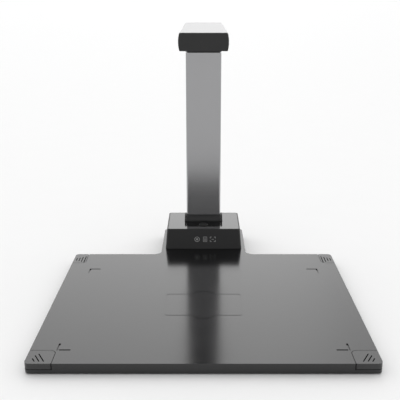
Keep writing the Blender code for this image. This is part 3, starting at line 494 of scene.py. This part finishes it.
pad_plastic = Finish("pad_plastic", {"IOR": 1.6})
moulding = pad_plastic.grain(0.5 * MM, detail=4)
pad_plastic.shade({
    "Base Color": pad_plastic.mix(moulding, (0.007, 0.007, 0.0075), (0.012, 0.012, 0.0125)),
    "Roughness": 0.2 + moulding * 0.06,
    "Normal": pad_plastic.relief(moulding, 0.004 * MM),
})
for (row, hand), (pad_low, pad_high) in pads.items():
    side = 1 if hand == "right" else -1
    pad = build(f"corner_pad_{row}_{hand}", prism([pad_outline(row, hand)], pad_low.z, board_top))
    soften(pad, 0.3 * MM)
    grooves = []
    if row == "rear":
        for i, length in enumerate(REAR_GROOVES):
            x, y = REAR_START - Vector((REAR_PITCH * i, 0))
            grooves.append((Vector((side * x, y)), length, 0))
    else:
        for i, length in enumerate(FRONT_GROOVES):
            middle = Vector((math.sin(SLANT), math.cos(SLANT))) * length / 2
            x, y = FRONT_START + middle - Vector((FRONT_PITCH * i, 0))
            grooves.append((Vector((side * x, y)), length, -side * SLANT))
    for slot in grooves:
        carve(pad, groove(*slot))
    fit(pad, [pad_plastic, groove_painted_shade], "base", "pad_plastic", f"{row}_pad_{hand}")
    # Painted shade: each groove's floor and walls get the dull black.
    for face in pad.data.polygons:
        face.material_index = int(any(in_groove(face.center, *slot) for slot in grooves))


# Underside: a flat black cover screwed to the board from below, over a steel plate that gives the
# board its weight. Four turned rubber feet sit in shallow seats.
def lathe(name, profile, centre, axis="Z", steps=48):
    """A turned solid: (radius, distance) points along an axis from a centre."""
    bm = bmesh.new()
    points = [bm.verts.new((radius, 0, along)) for radius, along in profile]
    edges = [bm.edges.new(pair) for pair in zip(points, points[1:])]
    around = {"cent": (0, 0, 0), "axis": (0, 0, 1), "angle": 2 * math.pi}
    bmesh.ops.spin(bm, geom=points + edges, steps=steps, **around)
    bmesh.ops.remove_doubles(bm, verts=bm.verts, dist=1e-6)
    bmesh.ops.recalc_face_normals(bm, faces=bm.faces)
    if bm.calc_volume(signed=True) < 0:
        bmesh.ops.reverse_faces(bm, faces=bm.faces)
    turns = {
        "Z": Matrix.Identity(4),
        "-Z": Matrix.Rotation(math.pi, 4, "X"),
        "X": Matrix.Rotation(math.pi / 2, 4, "Y"),
        "-X": Matrix.Rotation(-math.pi / 2, 4, "Y"),
        "Y": Matrix.Rotation(-math.pi / 2, 4, "X"),
    }
    mesh = bpy.data.meshes.new(name)
    bm.to_mesh(mesh)
    bm.free()
    mesh.transform(Matrix.Translation(centre) @ turns[axis])
    return build(name, mesh)


def dress(finish, *nodes):
    """Give CAD solids that stay as they are a finish."""
    for node in nodes:
        slots = frame["nodes"][node].data.materials
        slots.clear()
        slots.append(finish.material)


satin_black = Finish("satin_black", {"IOR": 1.45})
spark = satin_black.grain(0.22 * MM, detail=4)
cloud = satin_black.grain(25 * MM)
satin_black.shade({
    "Base Color": satin_black.mix(cloud, (0.007, 0.007, 0.0073), (0.0105, 0.0105, 0.011)),
    "Roughness": 0.38 + spark * 0.12,
    "Normal": satin_black.relief(spark, 0.012 * MM),
})
dress(satin_black, "base_bottom_cover")

plated = Finish("plated_steel", {"Metallic": 1})
turning = plated.grain(0.12 * MM, stretch=(1, 1, 6))
plated.shade({
    "Base Color": plated.mix(turning, (0.42, 0.42, 0.43), (0.52, 0.52, 0.53)),
    "Roughness": 0.28 + turning * 0.15,
    "Normal": plated.relief(turning, 0.003 * MM),
})
rolled = Finish("rolled_steel", {"Metallic": 1})
mill = rolled.grain(0.8 * MM, stretch=(1, 40, 1), detail=4)
rolled.shade({
    "Base Color": rolled.mix(mill, (0.33, 0.33, 0.34), (0.45, 0.45, 0.46)),
    "Roughness": 0.35 + mill * 0.2,
    "Normal": rolled.relief(mill, 0.01 * MM),
})
dress(rolled, "base_steel_plate")

rubber = Finish("foot_rubber", {"Specular IOR Level": 0.3})
bloom = rubber.grain(0.6 * MM, detail=5)
rubber.shade({
    "Base Color": rubber.mix(bloom, (0.018, 0.018, 0.018), (0.034, 0.034, 0.033)),
    "Roughness": 0.75 + bloom * 0.2,
    "Normal": rubber.relief(bloom, 0.02 * MM),
})
for row in ("front", "rear"):
    for hand in ("left", "right"):
        low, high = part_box(f"foot_{row}_{hand}")
        middle, tall, radius = (low + high) / 2, high.z - low.z, (high.x - low.x) / 2
        middle.z = 0
        turned = [
            (0, 0), (2.4 * MM, 0), (2.6 * MM, 0.4 * MM), (3.2 * MM, 0.4 * MM), (3.4 * MM, 0),
            (radius - 0.5 * MM, 0), (radius - 0.15 * MM, 0.15 * MM), (radius, 0.5 * MM),
            (radius, tall), (0, tall),
        ]
        foot = lathe(f"rubber_foot_{row}_{hand}", turned, middle)
        fit(foot, [rubber], "base", "rubber", f"foot_{row}_{hand}")

# Pan-head screws with a cross recess: the head's dome, the shank, and two crossed slots.
HEAD_R, HEAD_TALL, SHANK_R = 2.5 * MM, 1.2 * MM, 1.2 * MM


def screw(name, head, axis, length, body, node):
    """A screw whose head starts at a point and whose shank runs along an axis."""
    turned = [
        (0, 0), (1.4 * MM, 0.06 * MM), (2.1 * MM, 0.25 * MM), (HEAD_R, 0.7 * MM), (HEAD_R, HEAD_TALL),
        (SHANK_R, HEAD_TALL), (SHANK_R, length - 0.4 * MM), (SHANK_R - 0.4 * MM, length), (0, length),
    ]
    thing = lathe(name, turned, (0, 0, 0), "Z", 32)
    for wide, deep in ((1.25 * MM, 0.22 * MM), (0.22 * MM, 1.25 * MM)):
        carve(thing, block((-wide, -deep, -1 * MM), (wide, deep, 0.75 * MM)))
    turn = {"Z": Matrix.Identity(4), "-Y": Matrix.Rotation(math.pi / 2, 4, "X")}[axis]
    thing.data.transform(Matrix.Translation(head) @ turn)
    fit(thing, [plated], body, "steel", node)


def screws(node_names, axis, body):
    for node in node_names:
        low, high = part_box(node)
        head = (low + high) / 2
        if axis == "Z":
            head.z = low.z
            length = high.z - low.z
        else:
            head.y = high.y
            length = high.y - low.y
        screw(f"cross_{node}", head, axis, length, body, node)


for row in ("base_screw_front", "base_screw_rear", "bracket_screw"):
    screws([f"{row}_left", f"{row}_right"], "Z", "base")


# Hinge block: a drafted box of fine-textured black plastic on the board's tab, with a polished
# lid let into its top. The lid and the box are open for the hinge; a socket opens at the rear.
housing_low, housing_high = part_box("block_housing")
BLOCK_TOP_HALF = 51.25 * MM
LEAN_FRONT, LEAN_REAR = 4.9 * MM, 3.3 * MM
BLOCK_WALL, LID_RIM, LID_THICK = 2 * MM, 1.2 * MM, 1.5 * MM


def drafted(inset, low, high, radius=4 * MM):
    """The block's box, drawn in by an inset: its rim is smaller than its base."""
    half = housing_high.x - inset
    front, rear = housing_low.y + inset, housing_high.y - inset
    mesh = prism([rectangle(-half, front, half, rear, max(radius - inset, 1 * MM))], low, high)
    for vertex in mesh.vertices:
        share = (vertex.co.z - housing_low.z) / (housing_high.z - housing_low.z)
        along = (vertex.co.y - housing_low.y) / (housing_high.y - housing_low.y)
        vertex.co.y += share * (LEAN_FRONT - along * (LEAN_FRONT + LEAN_REAR))
        vertex.co.x *= 1 - share * (1 - BLOCK_TOP_HALF / housing_high.x)
    return mesh


tilt = next(joint for joint in frame["joints"] if joint["name"] == "column_tilt")
fold = next(joint for joint in frame["joints"] if joint["name"] == "arm_fold")
base_axis, arm_axis = Vector(tilt["pos_m"]), Vector(fold["pos_m"])
bracket_low, bracket_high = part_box("base_hinge_bracket")
button_low, button_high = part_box("capture_button")
button_middle = (button_low + button_high) / 2
button_r = (button_high.x - button_low.x) / 2
KNUCKLE_R, STEM_R = 10 * MM, 3.5 * MM
BLOCK_ROOF, PEG_X, PEG_R = 1.3 * MM, 38 * MM, 2.5 * MM
PORT_RISE, PORT_HALF, PORT_TALL = 7 * MM, 4.9 * MM, 2 * MM
block_top = housing_high.z
lid_seat = block_top - LID_THICK - GAP
roof = lid_seat - BLOCK_ROOF
port_z = board_top + PORT_RISE
below, above = roof - 7 * MM, block_top + 7 * MM

housing = build("block_shell", drafted(0, housing_low.z, block_top))
soften(housing, 0.5 * MM, angle=60)
carve(housing, drafted(BLOCK_WALL, 0, roof), drafted(LID_RIM, lid_seat, block_top + 5 * MM))
lid = build("block_lid", drafted(LID_RIM + GAP, lid_seat + GAP, block_top))
opening_x = bracket_high.x + 0.4 * MM
opening_y = KNUCKLE_R + 0.4 * MM
front, rear = base_axis.y - opening_y, base_axis.y + opening_y
opening = rectangle(-opening_x, front, opening_x, rear, 0.5 * MM, 4)
for piece, hole_r in ((housing, STEM_R + GAP), (lid, button_r + GAP)):
    carve(piece, prism([opening], below, above))
    carve(piece, prism([circle(0, button_middle.y, hole_r)], below, above))
soften(lid, 0.25 * MM)
port = rectangle(-PORT_HALF, port_z - PORT_TALL, PORT_HALF, port_z + PORT_TALL, 1.9 * MM)
carve(housing, prism([port], housing_high.y - 9 * MM, housing_high.y + 5 * MM, "Y"))
peg_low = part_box("main_board")[1].z + GAP
for side in (-1, 1):
    peg = prism([circle(side * PEG_X, button_middle.y, PEG_R)], peg_low, roof + 0.6 * MM)
    carve(housing, peg, operation="UNION")
fit(housing, [satin_black], "base", "black_plastic", "block_housing")

polish = Finish("polished_black", {"IOR": 1.6})
smear = polish.grain(12 * MM, detail=5)
wave = polish.grain(6 * MM)
polish.shade({
    "Base Color": polish.mix(smear, (0.006, 0.006, 0.0065), (0.009, 0.009, 0.0095)),
    "Roughness": 0.05 + smear * 0.06,
    "Normal": polish.relief(wave, 0.003 * MM),
})
fit(lid, [polish], "base", "gloss_black", "block_top_panel")

# Pictograms printed on the block's front: a lens, a page of lines and a scanning frame.
PRINT_THICK = 0.05 * MM
PRINT_RISE = 0.48  # share of the front face's height
block_tall = block_top - housing_low.z


def pictogram(name, outlines):
    """A flat print that leans back with the block's front face."""
    mesh = prism(outlines, -PRINT_THICK / 2, PRINT_THICK / 2)
    lean = math.atan2(LEAN_FRONT, block_tall)
    y, z = housing_low.y + PRINT_RISE * LEAN_FRONT, housing_low.z + PRINT_RISE * block_tall
    mesh.transform(Matrix.Translation((0, y, z)) @ Matrix.Rotation(math.pi / 2 - lean, 4, "X"))
    icon = build(name, mesh)
    fit(icon, [ink], "base", "black_plastic")


ink = Finish("grey_print", {"Specular IOR Level": 0.3})
screen = ink.grain(0.25 * MM, detail=3)
ink.shade({
    "Base Color": ink.mix(screen, (0.22, 0.22, 0.22), (0.32, 0.32, 0.32)),
    "Roughness": 0.45 + screen * 0.2,
})
pictogram("print_lens", [circle(-9 * MM, 0, radius * MM) for radius in (3.7, 2.9, 1.5)])
page_mark = [
    rectangle(-0.6 * MM, -3.7 * MM, 5 * MM, 3.7 * MM, 0.6 * MM, 4),
    rectangle(0, -3.1 * MM, 4.4 * MM, 3.1 * MM),
]
for y in (-1.7 * MM, 0, 1.7 * MM):
    page_mark.append(rectangle(0.8 * MM, y - 0.35 * MM, 3.6 * MM, y + 0.35 * MM))
pictogram("print_page", page_mark)
brackets = []
for u in (-1, 1):
    for v in (-1, 1):
        elbow = [(4, 3.6), (4, 1.2), (3.2, 1.2), (3.2, 2.8), (1.6, 2.8), (1.6, 3.6)]
        brackets.append([(13 * MM + u * x * MM, v * y * MM) for x, y in elbow])
brackets.append(rectangle(11.4 * MM, -0.35 * MM, 14.6 * MM, 0.35 * MM))
pictogram("print_frame", brackets)


# Inside the block: the main board on two pegs under the roof with its processor and the button's
# switch, and a small board at the rear with the cable socket, a rolled steel shell with a tongue.
laminate = Finish("green_laminate", {"IOR": 1.5})
weave = laminate.node("TexChecker", None, {
    "Vector": laminate.place,
    "Scale": 900,
    "Color1": (0.012, 0.10, 0.045),
    "Color2": (0.008, 0.075, 0.033),
})
tracks = laminate.grain(1.4 * MM, detail=0)
copper = (tracks > 0.56) * (1 - (tracks > 0.6))
laminate.shade({
    "Base Color": laminate.mix(copper, weave, (0.03, 0.19, 0.08)),
    "Roughness": 0.3 + tracks * 0.15,
    "Normal": laminate.relief(copper, 0.03 * MM),
})
dress(laminate, "main_board", "port_board", "camera_board", "led_board")
epoxy = Finish("black_epoxy", {"IOR": 1.5})
pits = epoxy.grain(0.15 * MM, detail=4)
epoxy.shade({
    "Base Color": epoxy.mix(pits, (0.010, 0.010, 0.010), (0.022, 0.022, 0.022)),
    "Roughness": 0.45 + pits * 0.2,
    "Normal": epoxy.relief(pits, 0.01 * MM),
})
dress(epoxy, "main_processor", "button_switch", "image_sensor", "lens_barrel")

socket_low, socket_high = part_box("usb_port")
middle_z = (socket_low.z + socket_high.z) / 2
half_x, half_z = socket_high.x, (socket_high.z - socket_low.z) / 2
SHELL = 0.4 * MM


def socket_outline(inset, radius):
    wide, tall = half_x - inset, half_z - inset
    return rectangle(-wide, middle_z - tall, wide, middle_z + tall, radius, 8)


socket = build("socket_shell", prism([socket_outline(0, 1.5 * MM)], socket_low.y, socket_high.y, "Y"))
inner = socket_outline(SHELL, 1.1 * MM)
carve(socket, prism([inner], socket_low.y + 2 * MM, socket_high.y + 1 * MM, "Y"))
wide, thin = 3.3 * MM, 0.35 * MM
rear = socket_high.y - 1 * MM
tongue = block((-wide, socket_low.y + 1.5 * MM, middle_z - thin), (wide, rear, middle_z + thin))
carve(socket, tongue, operation="UNION")
fit(socket, [plated], "base", "steel", "usb_port")


# Capture button: a round satin cap with a shallow dish, standing a little proud of the lid. Its
# stem goes through the roof to the switch.
CAP_SKIRT = 1.1 * MM
cap_top, stem_bottom = button_high.z, button_low.z
cap_bottom = lid_seat + GAP + CAP_SKIRT
cap = [
    (0, cap_top - 0.35 * MM), (2 * MM, cap_top - 0.3 * MM), (4 * MM, cap_top - 0.15 * MM),
    (5.3 * MM, cap_top), (button_r - 0.3 * MM, cap_top - 0.08 * MM), (button_r, cap_top - 0.4 * MM),
    (button_r, cap_bottom), (STEM_R, cap_bottom), (STEM_R, stem_bottom), (0, stem_bottom),
]
button = lathe("round_button", cap, (0, button_middle.y, 0), "Z", 64)
fit(button, [satin_black], "button", "black_plastic", "capture_button")


# Base hinge: a steel bracket coated gloss black, screwed up through the board. Its two round ears
# hold a steel stub pin each, and the column's foot turns between them on friction washers.
PIN_R = 3 * MM
ear_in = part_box("column_foot")[1].x + GAP
ear_out = bracket_high.x
PLATE_THICK, BRACKET_SCREW_X = 3.5 * MM, 15 * MM
plate_top = bracket_low.z + PLATE_THICK
plate = block((-ear_out, bracket_low.y, bracket_low.z), (ear_out, bracket_high.y, plate_top))
bracket = build("hinge_ears", plate)
front, rear = base_axis.y - KNUCKLE_R, base_axis.y + KNUCKLE_R
ear_profile = rounded([
    (front, bracket_low.z + 1 * MM, 0),
    (rear, bracket_low.z + 1 * MM, 0),
    (rear, base_axis.z + KNUCKLE_R, KNUCKLE_R * 0.998),
    (front, base_axis.z + KNUCKLE_R, KNUCKLE_R * 0.998),
], 24)
for side in (-1, 1):
    x0, x1 = sorted((side * ear_in, side * ear_out))
    carve(bracket, prism([ear_profile], x0, x1, "X"), operation="UNION")
soften(bracket, 0.3 * MM)
beyond = ear_out + 1 * MM
carve(bracket, prism([circle(base_axis.y, base_axis.z, PIN_R + GAP)], -beyond, beyond, "X"))
for side in (-1, 1):
    hole = circle(side * BRACKET_SCREW_X, base_axis.y, SHANK_R + GAP)
    carve(bracket, prism([hole], 0, bracket_low.z + 5 * MM))
ear_coat = Finish("gloss_coating", {"IOR": 1.5})
flow = ear_coat.grain(2.5 * MM, detail=3)
ear_coat.shade({
    "Base Color": ear_coat.mix(flow, (0.006, 0.006, 0.006), (0.010, 0.010, 0.010)),
    "Roughness": 0.12 + flow * 0.08,
    "Normal": ear_coat.relief(flow, 0.008 * MM),
})
fit(bracket, [ear_coat], "base", "base_bracket_paint", "base_hinge_bracket")


def pins(joint, axis, body):
    """Two stub pins, each with a chamfered, dimpled end that shows in the ear."""
    for hand, side in (("left", "-X"), ("right", "X")):
        low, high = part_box(f"{joint}_hinge_pin_{hand}")
        near, far = sorted((abs(low.x), abs(high.x)))
        turned = [
            (0, near), (PIN_R - 0.3 * MM, near), (PIN_R, near + 0.3 * MM), (PIN_R, far - 0.4 * MM),
            (PIN_R - 0.4 * MM, far), (0.9 * MM, far), (0, far - 0.5 * MM),
        ]
        pin = lathe(f"{joint}_stub_{hand}", turned, (0, axis.y, axis.z), side)
        fit(pin, [plated], body, "steel", f"{joint}_hinge_pin_{hand}")
        dress(plated, f"{joint}_friction_washer_{hand}")


pins("base", base_axis, "base")


# Column: a flat tube of extruded aluminium, blasted and anodised gunmetal. Plastic plugs at its
# foot and head carry the hinge barrels and are screwed through its rear wall.
tube_low, tube_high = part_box("column_tube")
foot_low, foot_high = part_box("column_foot")
head_low, head_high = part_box("column_head")
COLUMN_WALL, COLUMN_CORNER = 1.5 * MM, 3 * MM


def tube_outline(inset, radius, steps):
    """The column's section, drawn in by an inset."""
    x0, y0, x1, y1 = tube_low.x, tube_low.y, tube_high.x, tube_high.y
    return rectangle(x0 + inset, y0 + inset, x1 - inset, y1 - inset, radius, steps)


outer = tube_outline(0, COLUMN_CORNER, 12)
inner = tube_outline(COLUMN_WALL, COLUMN_CORNER - COLUMN_WALL, 8)
tube = build("column_profile", prism([outer, inner], tube_low.z, tube_high.z))

# Foot and head: barrels with bores for the pins, seats for the washers and a slot for the cable.
WASHER_R, WASHER_DEEP, PIN_START = 6.2 * MM, 2.2 * MM, 9 * MM
PLUG_LENGTH = 24 * MM
SLOT_HALF_X, SLOT_HALF_Y, SLOT_REACH = 7 * MM, 2 * MM, 40 * MM
plug = COLUMN_WALL + GAP
plug_outline = tube_outline(plug, COLUMN_CORNER - COLUMN_WALL, 8)
flat = tube_low.z - GAP
reach = math.acos((flat - base_axis.z) / KNUCKLE_R)
arc = [reach + (2 * math.pi - 2 * reach) * step / 64 for step in range(65)]
barrel = [
    (base_axis.y + KNUCKLE_R * math.sin(turn), base_axis.z + KNUCKLE_R * math.cos(turn))
    for turn in arc
]
foot = build("column_foot_barrel", prism([barrel], foot_low.x, foot_high.x, "X"))
soften(foot, 0.3 * MM)
carve(foot, prism([plug_outline], base_axis.z + 5 * MM, tube_low.z + PLUG_LENGTH), operation="UNION")
barrel = circle(arm_axis.y, arm_axis.z, KNUCKLE_R, 64)
head = build("column_head_barrel", prism([barrel], head_low.x, head_high.x, "X"))
soften(head, 0.3 * MM)
neck_x = head_high.x - 0.2 * MM
link_x, link_front, link_rear = neck_x - 2 * MM, tube_low.y + plug, tube_high.y - plug
link_low, link_high = tube_high.z - 2 * MM, tube_high.z + 3 * MM
carve(
    head,
    block((-neck_x, tube_low.y, tube_high.z + GAP), (neck_x, tube_high.y, arm_axis.z)),
    prism([plug_outline], tube_high.z - PLUG_LENGTH, tube_high.z),
    block((-link_x, link_front, link_low), (link_x, link_rear, link_high)),
    operation="UNION",
)
for barrel_piece, axis in ((foot, base_axis), (head, arm_axis)):
    half = foot_high.x if barrel_piece is foot else head_high.x
    for side in (-1, 1):
        x0, x1 = sorted((side * (PIN_START - GAP), side * (half + 1 * MM)))
        carve(barrel_piece, prism([circle(axis.y, axis.z, PIN_R + GAP)], x0, x1, "X"))
        x0, x1 = sorted((side * (half - WASHER_DEEP - GAP), side * (half + 2 * MM)))
        carve(barrel_piece, prism([circle(axis.y, axis.z, WASHER_R + GAP)], x0, x1, "X"))
    reach = Vector((SLOT_HALF_X, SLOT_HALF_Y, SLOT_REACH))
    carve(barrel_piece, block(axis - reach, axis + reach))
for word, plug_piece in (("foot", foot), ("head", head)):
    for hand in ("left", "right"):
        low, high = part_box(f"column_{word}_screw_{hand}")
        x, z = (low.x + high.x) / 2, (low.z + high.z) / 2
        hole = circle(x, z, SHANK_R + GAP, 24)
        for piece in (plug_piece, tube):
            carve(piece, prism([hole], base_axis.y, tube_high.y + 2 * MM, "Y"))
    fit(plug_piece, [satin_black], "column", "black_plastic", f"column_{word}")
for word in ("foot", "head"):
    screws([f"column_{word}_screw_left", f"column_{word}_screw_right"], "-Y", "column")



def anodised(name, drawn_along):
    """Blasted, anodised aluminium with the faintest lines of its extrusion."""
    finish = Finish(name, {"Metallic": 1})
    blast = finish.grain(0.14 * MM, detail=3)
    drawn = finish.grain(0.7 * MM, stretch=drawn_along, detail=2)
    finish.shade({
        "Base Color": finish.mix(drawn, (0.344, 0.344, 0.35), (0.352, 0.352, 0.358)),
        "Roughness": 0.17 + blast * 0.08,
        "Normal": finish.relief(blast, 0.004 * MM),
    })
    return finish


gunmetal = anodised("gunmetal_column", (1, 1, 80))
fit(tube, [gunmetal], "column", "gunmetal", "column_tube")

ribbon = Finish("ribbon_cable", {"IOR": 1.5})
strands = ribbon.node("TexWave", {"bands_direction": "X", "wave_profile": "SIN"}, {
    "Vector": ribbon.place, "Scale": 500, "Distortion": 0,
}, output="Fac")
ribbon.shade({
    "Base Color": ribbon.mix(strands, (0.55, 0.52, 0.44), (0.74, 0.72, 0.66)),
    "Roughness": 0.35 + strands * 0.2,
    "Normal": ribbon.relief(strands, 0.05 * MM),
})
dress(ribbon, "column_cable", "arm_cable")


# Arm: an anodised top cover over a moulded tray, closed by a cap at each end. A coated bracket
# inside carries two hubs, which turn on the column's head.
tray_low, tray_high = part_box("arm_bottom_cover")
arm_low = tray_low.z
arm_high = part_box("arm_top_cover")[1].z
arm_middle = (arm_low + arm_high) / 2
ARM_HALF, ARM_BULGE, ARM_CORNER, ARM_WALL = 24.5 * MM, 1.15 * MM, 1.2 * MM, 1.6 * MM
seam = tray_high.z


def arm_section(low, high):
    """The arm between two heights: flat above and below, with bulging sides."""
    levels = [low + (high - low) * step / 12 for step in range(1, 12)]
    clear_of_corners = [z for z in levels if arm_low + ARM_CORNER < z < arm_high - ARM_CORNER]
    levels = [low, *clear_of_corners, high]

    def half_at(z):
        share = (z - arm_middle) / (arm_high - arm_middle)
        return ARM_HALF + ARM_BULGE * (1 - share**2)

    corner = {arm_low: ARM_CORNER * 0.9, arm_high: ARM_CORNER * 0.9}
    return rounded(mirrored([(half_at(z), z, corner.get(z, 0)) for z in levels]), 8)


for name, node in (("arm_nose", "arm_front_cap"), ("arm_tail", "arm_rear_cap")):
    low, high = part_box(node)
    end_cap = build(name, prism([arm_section(arm_low, arm_high)], low.y, high.y, "Y"))
    soften(end_cap, 0.5 * MM, angle=60)
    fit(end_cap, [satin_black], "arm", "black_plastic", node)
cover_section = arm_section(seam + GAP, arm_high)
arm_cover = build("arm_cover", prism([cover_section], tray_low.y, tray_high.y, "Y"))
arm_ceiling = arm_high - ARM_WALL
arm_inside = ARM_HALF - ARM_WALL
front, rear = tray_low.y - 5 * MM, tray_high.y + 5 * MM
carve(arm_cover, block((-arm_inside, front, arm_low), (arm_inside, rear, arm_ceiling)))
tray = build("arm_tray", prism([arm_section(arm_low, seam)], tray_low.y, tray_high.y, "Y"))

HUB_OUT, STEM_OUT = 24.2 * MM, 22.3 * MM
STEM_FRONT, STEM_REAR = 8 * MM, 4 * MM
BOSS_R = 3 * MM
hub_in = head_high.x + GAP
plate_low, plate_high = seam + GAP, seam + 2.3 * MM
stem_front, stem_rear = arm_axis.y - STEM_FRONT, arm_axis.y + STEM_REAR
arm_plate_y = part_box("arm_hinge_bracket")[0].y
plate = block((-STEM_OUT, arm_plate_y, plate_low), (STEM_OUT, stem_rear, plate_high))
hubs = build("arm_hubs", plate)
for side in (-1, 1):
    x0, x1 = sorted((side * hub_in, side * STEM_OUT))
    stem = block((x0, stem_front, arm_axis.z), (x1, stem_rear, plate_high - 0.5 * MM))
    carve(hubs, stem, operation="UNION")
    h0, h1 = sorted((side * hub_in, side * HUB_OUT))
    hub = prism([circle(arm_axis.y, arm_axis.z, KNUCKLE_R, 64)], h0, h1, "X")
    carve(hubs, hub, operation="UNION")
    low, high = arm_low - 1 * MM, seam + 1 * MM
    carve(tray, block((x0 - GAP, stem_front - GAP, low), (x1 + GAP, stem_rear + GAP, high)))
soften(hubs, 0.3 * MM)
beyond = HUB_OUT + 1 * MM
carve(hubs, prism([circle(arm_axis.y, arm_axis.z, PIN_R + GAP)], -beyond, beyond, "X"))
front, rear = arm_axis.y - 2 * SLOT_HALF_Y, arm_axis.y + SLOT_HALF_Y
for piece in (hubs, tray):
    slot = block((-SLOT_HALF_X, front, arm_axis.z), (SLOT_HALF_X, rear, arm_ceiling))
    carve(piece, slot)
pins("arm", arm_axis, "arm")

arm_screws = [f"arm_screw_{row}_{hand}" for row in ("front", "rear") for hand in ("left", "right")]
for node in arm_screws:
    low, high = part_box(node)
    x, y = (low.x + high.x) / 2, (low.y + high.y) / 2
    rear = "rear" in node
    boss_low = plate_high + GAP if rear else seam + GAP
    boss = prism([circle(x, y, BOSS_R)], boss_low, arm_ceiling + 0.5 * MM)
    carve(arm_cover, boss, operation="UNION")
    shank = prism([circle(x, y, SHANK_R + GAP, 24)], arm_low - 1 * MM, arm_ceiling - 1 * MM)
    carve(arm_cover, shank.copy())
    carve(tray, shank.copy(), prism([circle(x, y, HEAD_R + GAP)], arm_low - 1 * MM, arm_low + 1.5 * MM))
    if rear:
        carve(hubs, shank.copy())
screws(arm_screws, "Z", "arm")
hub_coat = Finish("satin_coating", {"IOR": 1.5})
texture = hub_coat.grain(0.4 * MM, detail=4)
hub_coat.shade({
    "Base Color": hub_coat.mix(texture, (0.010, 0.010, 0.010), (0.015, 0.015, 0.015)),
    "Roughness": 0.35 + texture * 0.12,
    "Normal": hub_coat.relief(texture, 0.015 * MM),
})
fit(hubs, [hub_coat], "arm", "arm_bracket_paint", "arm_hinge_bracket")
fit(arm_cover, [anodised("gunmetal_arm", (1, 80, 1))], "arm", "gunmetal", "arm_top_cover")


# Camera: a lens in a moulded holder looks straight down through a coated window let into the
# tray, and a ribbed opal strip behind it hides the lamps.
window_low, window_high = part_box("lens_window")
window_middle = (window_low + window_high) / 2
window_r = (window_high.x - window_low.x) / 2
carve(
    tray,
    prism([circle(0, window_middle.y, window_r + GAP, 64)], arm_low - 1 * MM, window_high.z + GAP),
    prism([circle(0, window_middle.y, 6 * MM, 64)], arm_low - 1 * MM, seam + 1 * MM),
)
strip_low, strip_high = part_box("led_diffuser")
strip_y = (strip_low.y + strip_high.y) / 2
strip_half = (strip_high.y - strip_low.y) / 2


def strip_outline(grow):
    """The strip's round-ended outline, widened by a gap for its hole in the tray."""
    half = strip_half + grow
    x0, x1 = strip_low.x - grow, strip_high.x + grow
    return rectangle(x0, strip_y - half, x1, strip_y + half, half * 0.99)


carve(tray, prism([strip_outline(GAP)], arm_low - 1 * MM, seam + 1 * MM))
fit(tray, [satin_black], "arm", "black_plastic", "arm_bottom_cover")

window = lathe("camera_window", [
    (0, window_low.z), (window_r - 0.3 * MM, window_low.z), (window_r, window_low.z + 0.3 * MM),
    (window_r, window_high.z), (0, window_high.z),
], (0, window_middle.y, 0), "Z", 64)
clear = Finish("coated_glass", {"IOR": 1.6})
breath = clear.grain(5 * MM)
clear.shade({
    "Base Color": clear.mix(breath, (0.010, 0.009, 0.022), (0.018, 0.014, 0.034)),
    "Roughness": 0.02 + breath * 0.02,
    "Alpha": 0.4 + breath * 0.1,
})
fit(window, [clear], "arm", "lens_glass", "lens_window")
glass_low, glass_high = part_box("front_lens")
glass_r = (glass_high.x - glass_low.x) / 2
DOME = 0.9 * MM
turns = [math.pi / 2 * step / 8 for step in range(9)]
domed = [(glass_r * math.sin(turn), glass_low.z + DOME * (1 - math.cos(turn))) for turn in turns]
domed += [(glass_r, glass_high.z), (0, glass_high.z)]
front_lens = lathe("front_element", domed, (0, window_middle.y, 0))
element = Finish("lens_element", {"IOR": 1.7})
bloom = element.grain(2 * MM)
element.shade({
    "Base Color": element.mix(bloom, (0.008, 0.006, 0.022), (0.022, 0.010, 0.036)),
    "Roughness": 0.03 + bloom * 0.02,
})
fit(front_lens, [element], "arm", "lens_glass", "front_lens")
dress(satin_black, "lens_holder")

strip = build("lamp_strip", prism([strip_outline(0)], strip_low.z, strip_high.z))
soften(strip, 0.25 * MM)
opal = Finish("opal_diffuser", {"IOR": 1.5})
ribs = opal.node("TexWave", {"bands_direction": "X", "wave_profile": "SIN"}, {
    "Vector": opal.place, "Scale": 260, "Distortion": 0,
}, output="Fac")
opal.shade({
    "Base Color": opal.mix(ribs, (0.66, 0.66, 0.64), (0.8, 0.8, 0.78)),
    "Roughness": 0.3 + ribs * 0.15,
    "Normal": opal.relief(ribs, 0.06 * MM),
})
fit(strip, [opal], "arm", "diffuser", "led_diffuser")
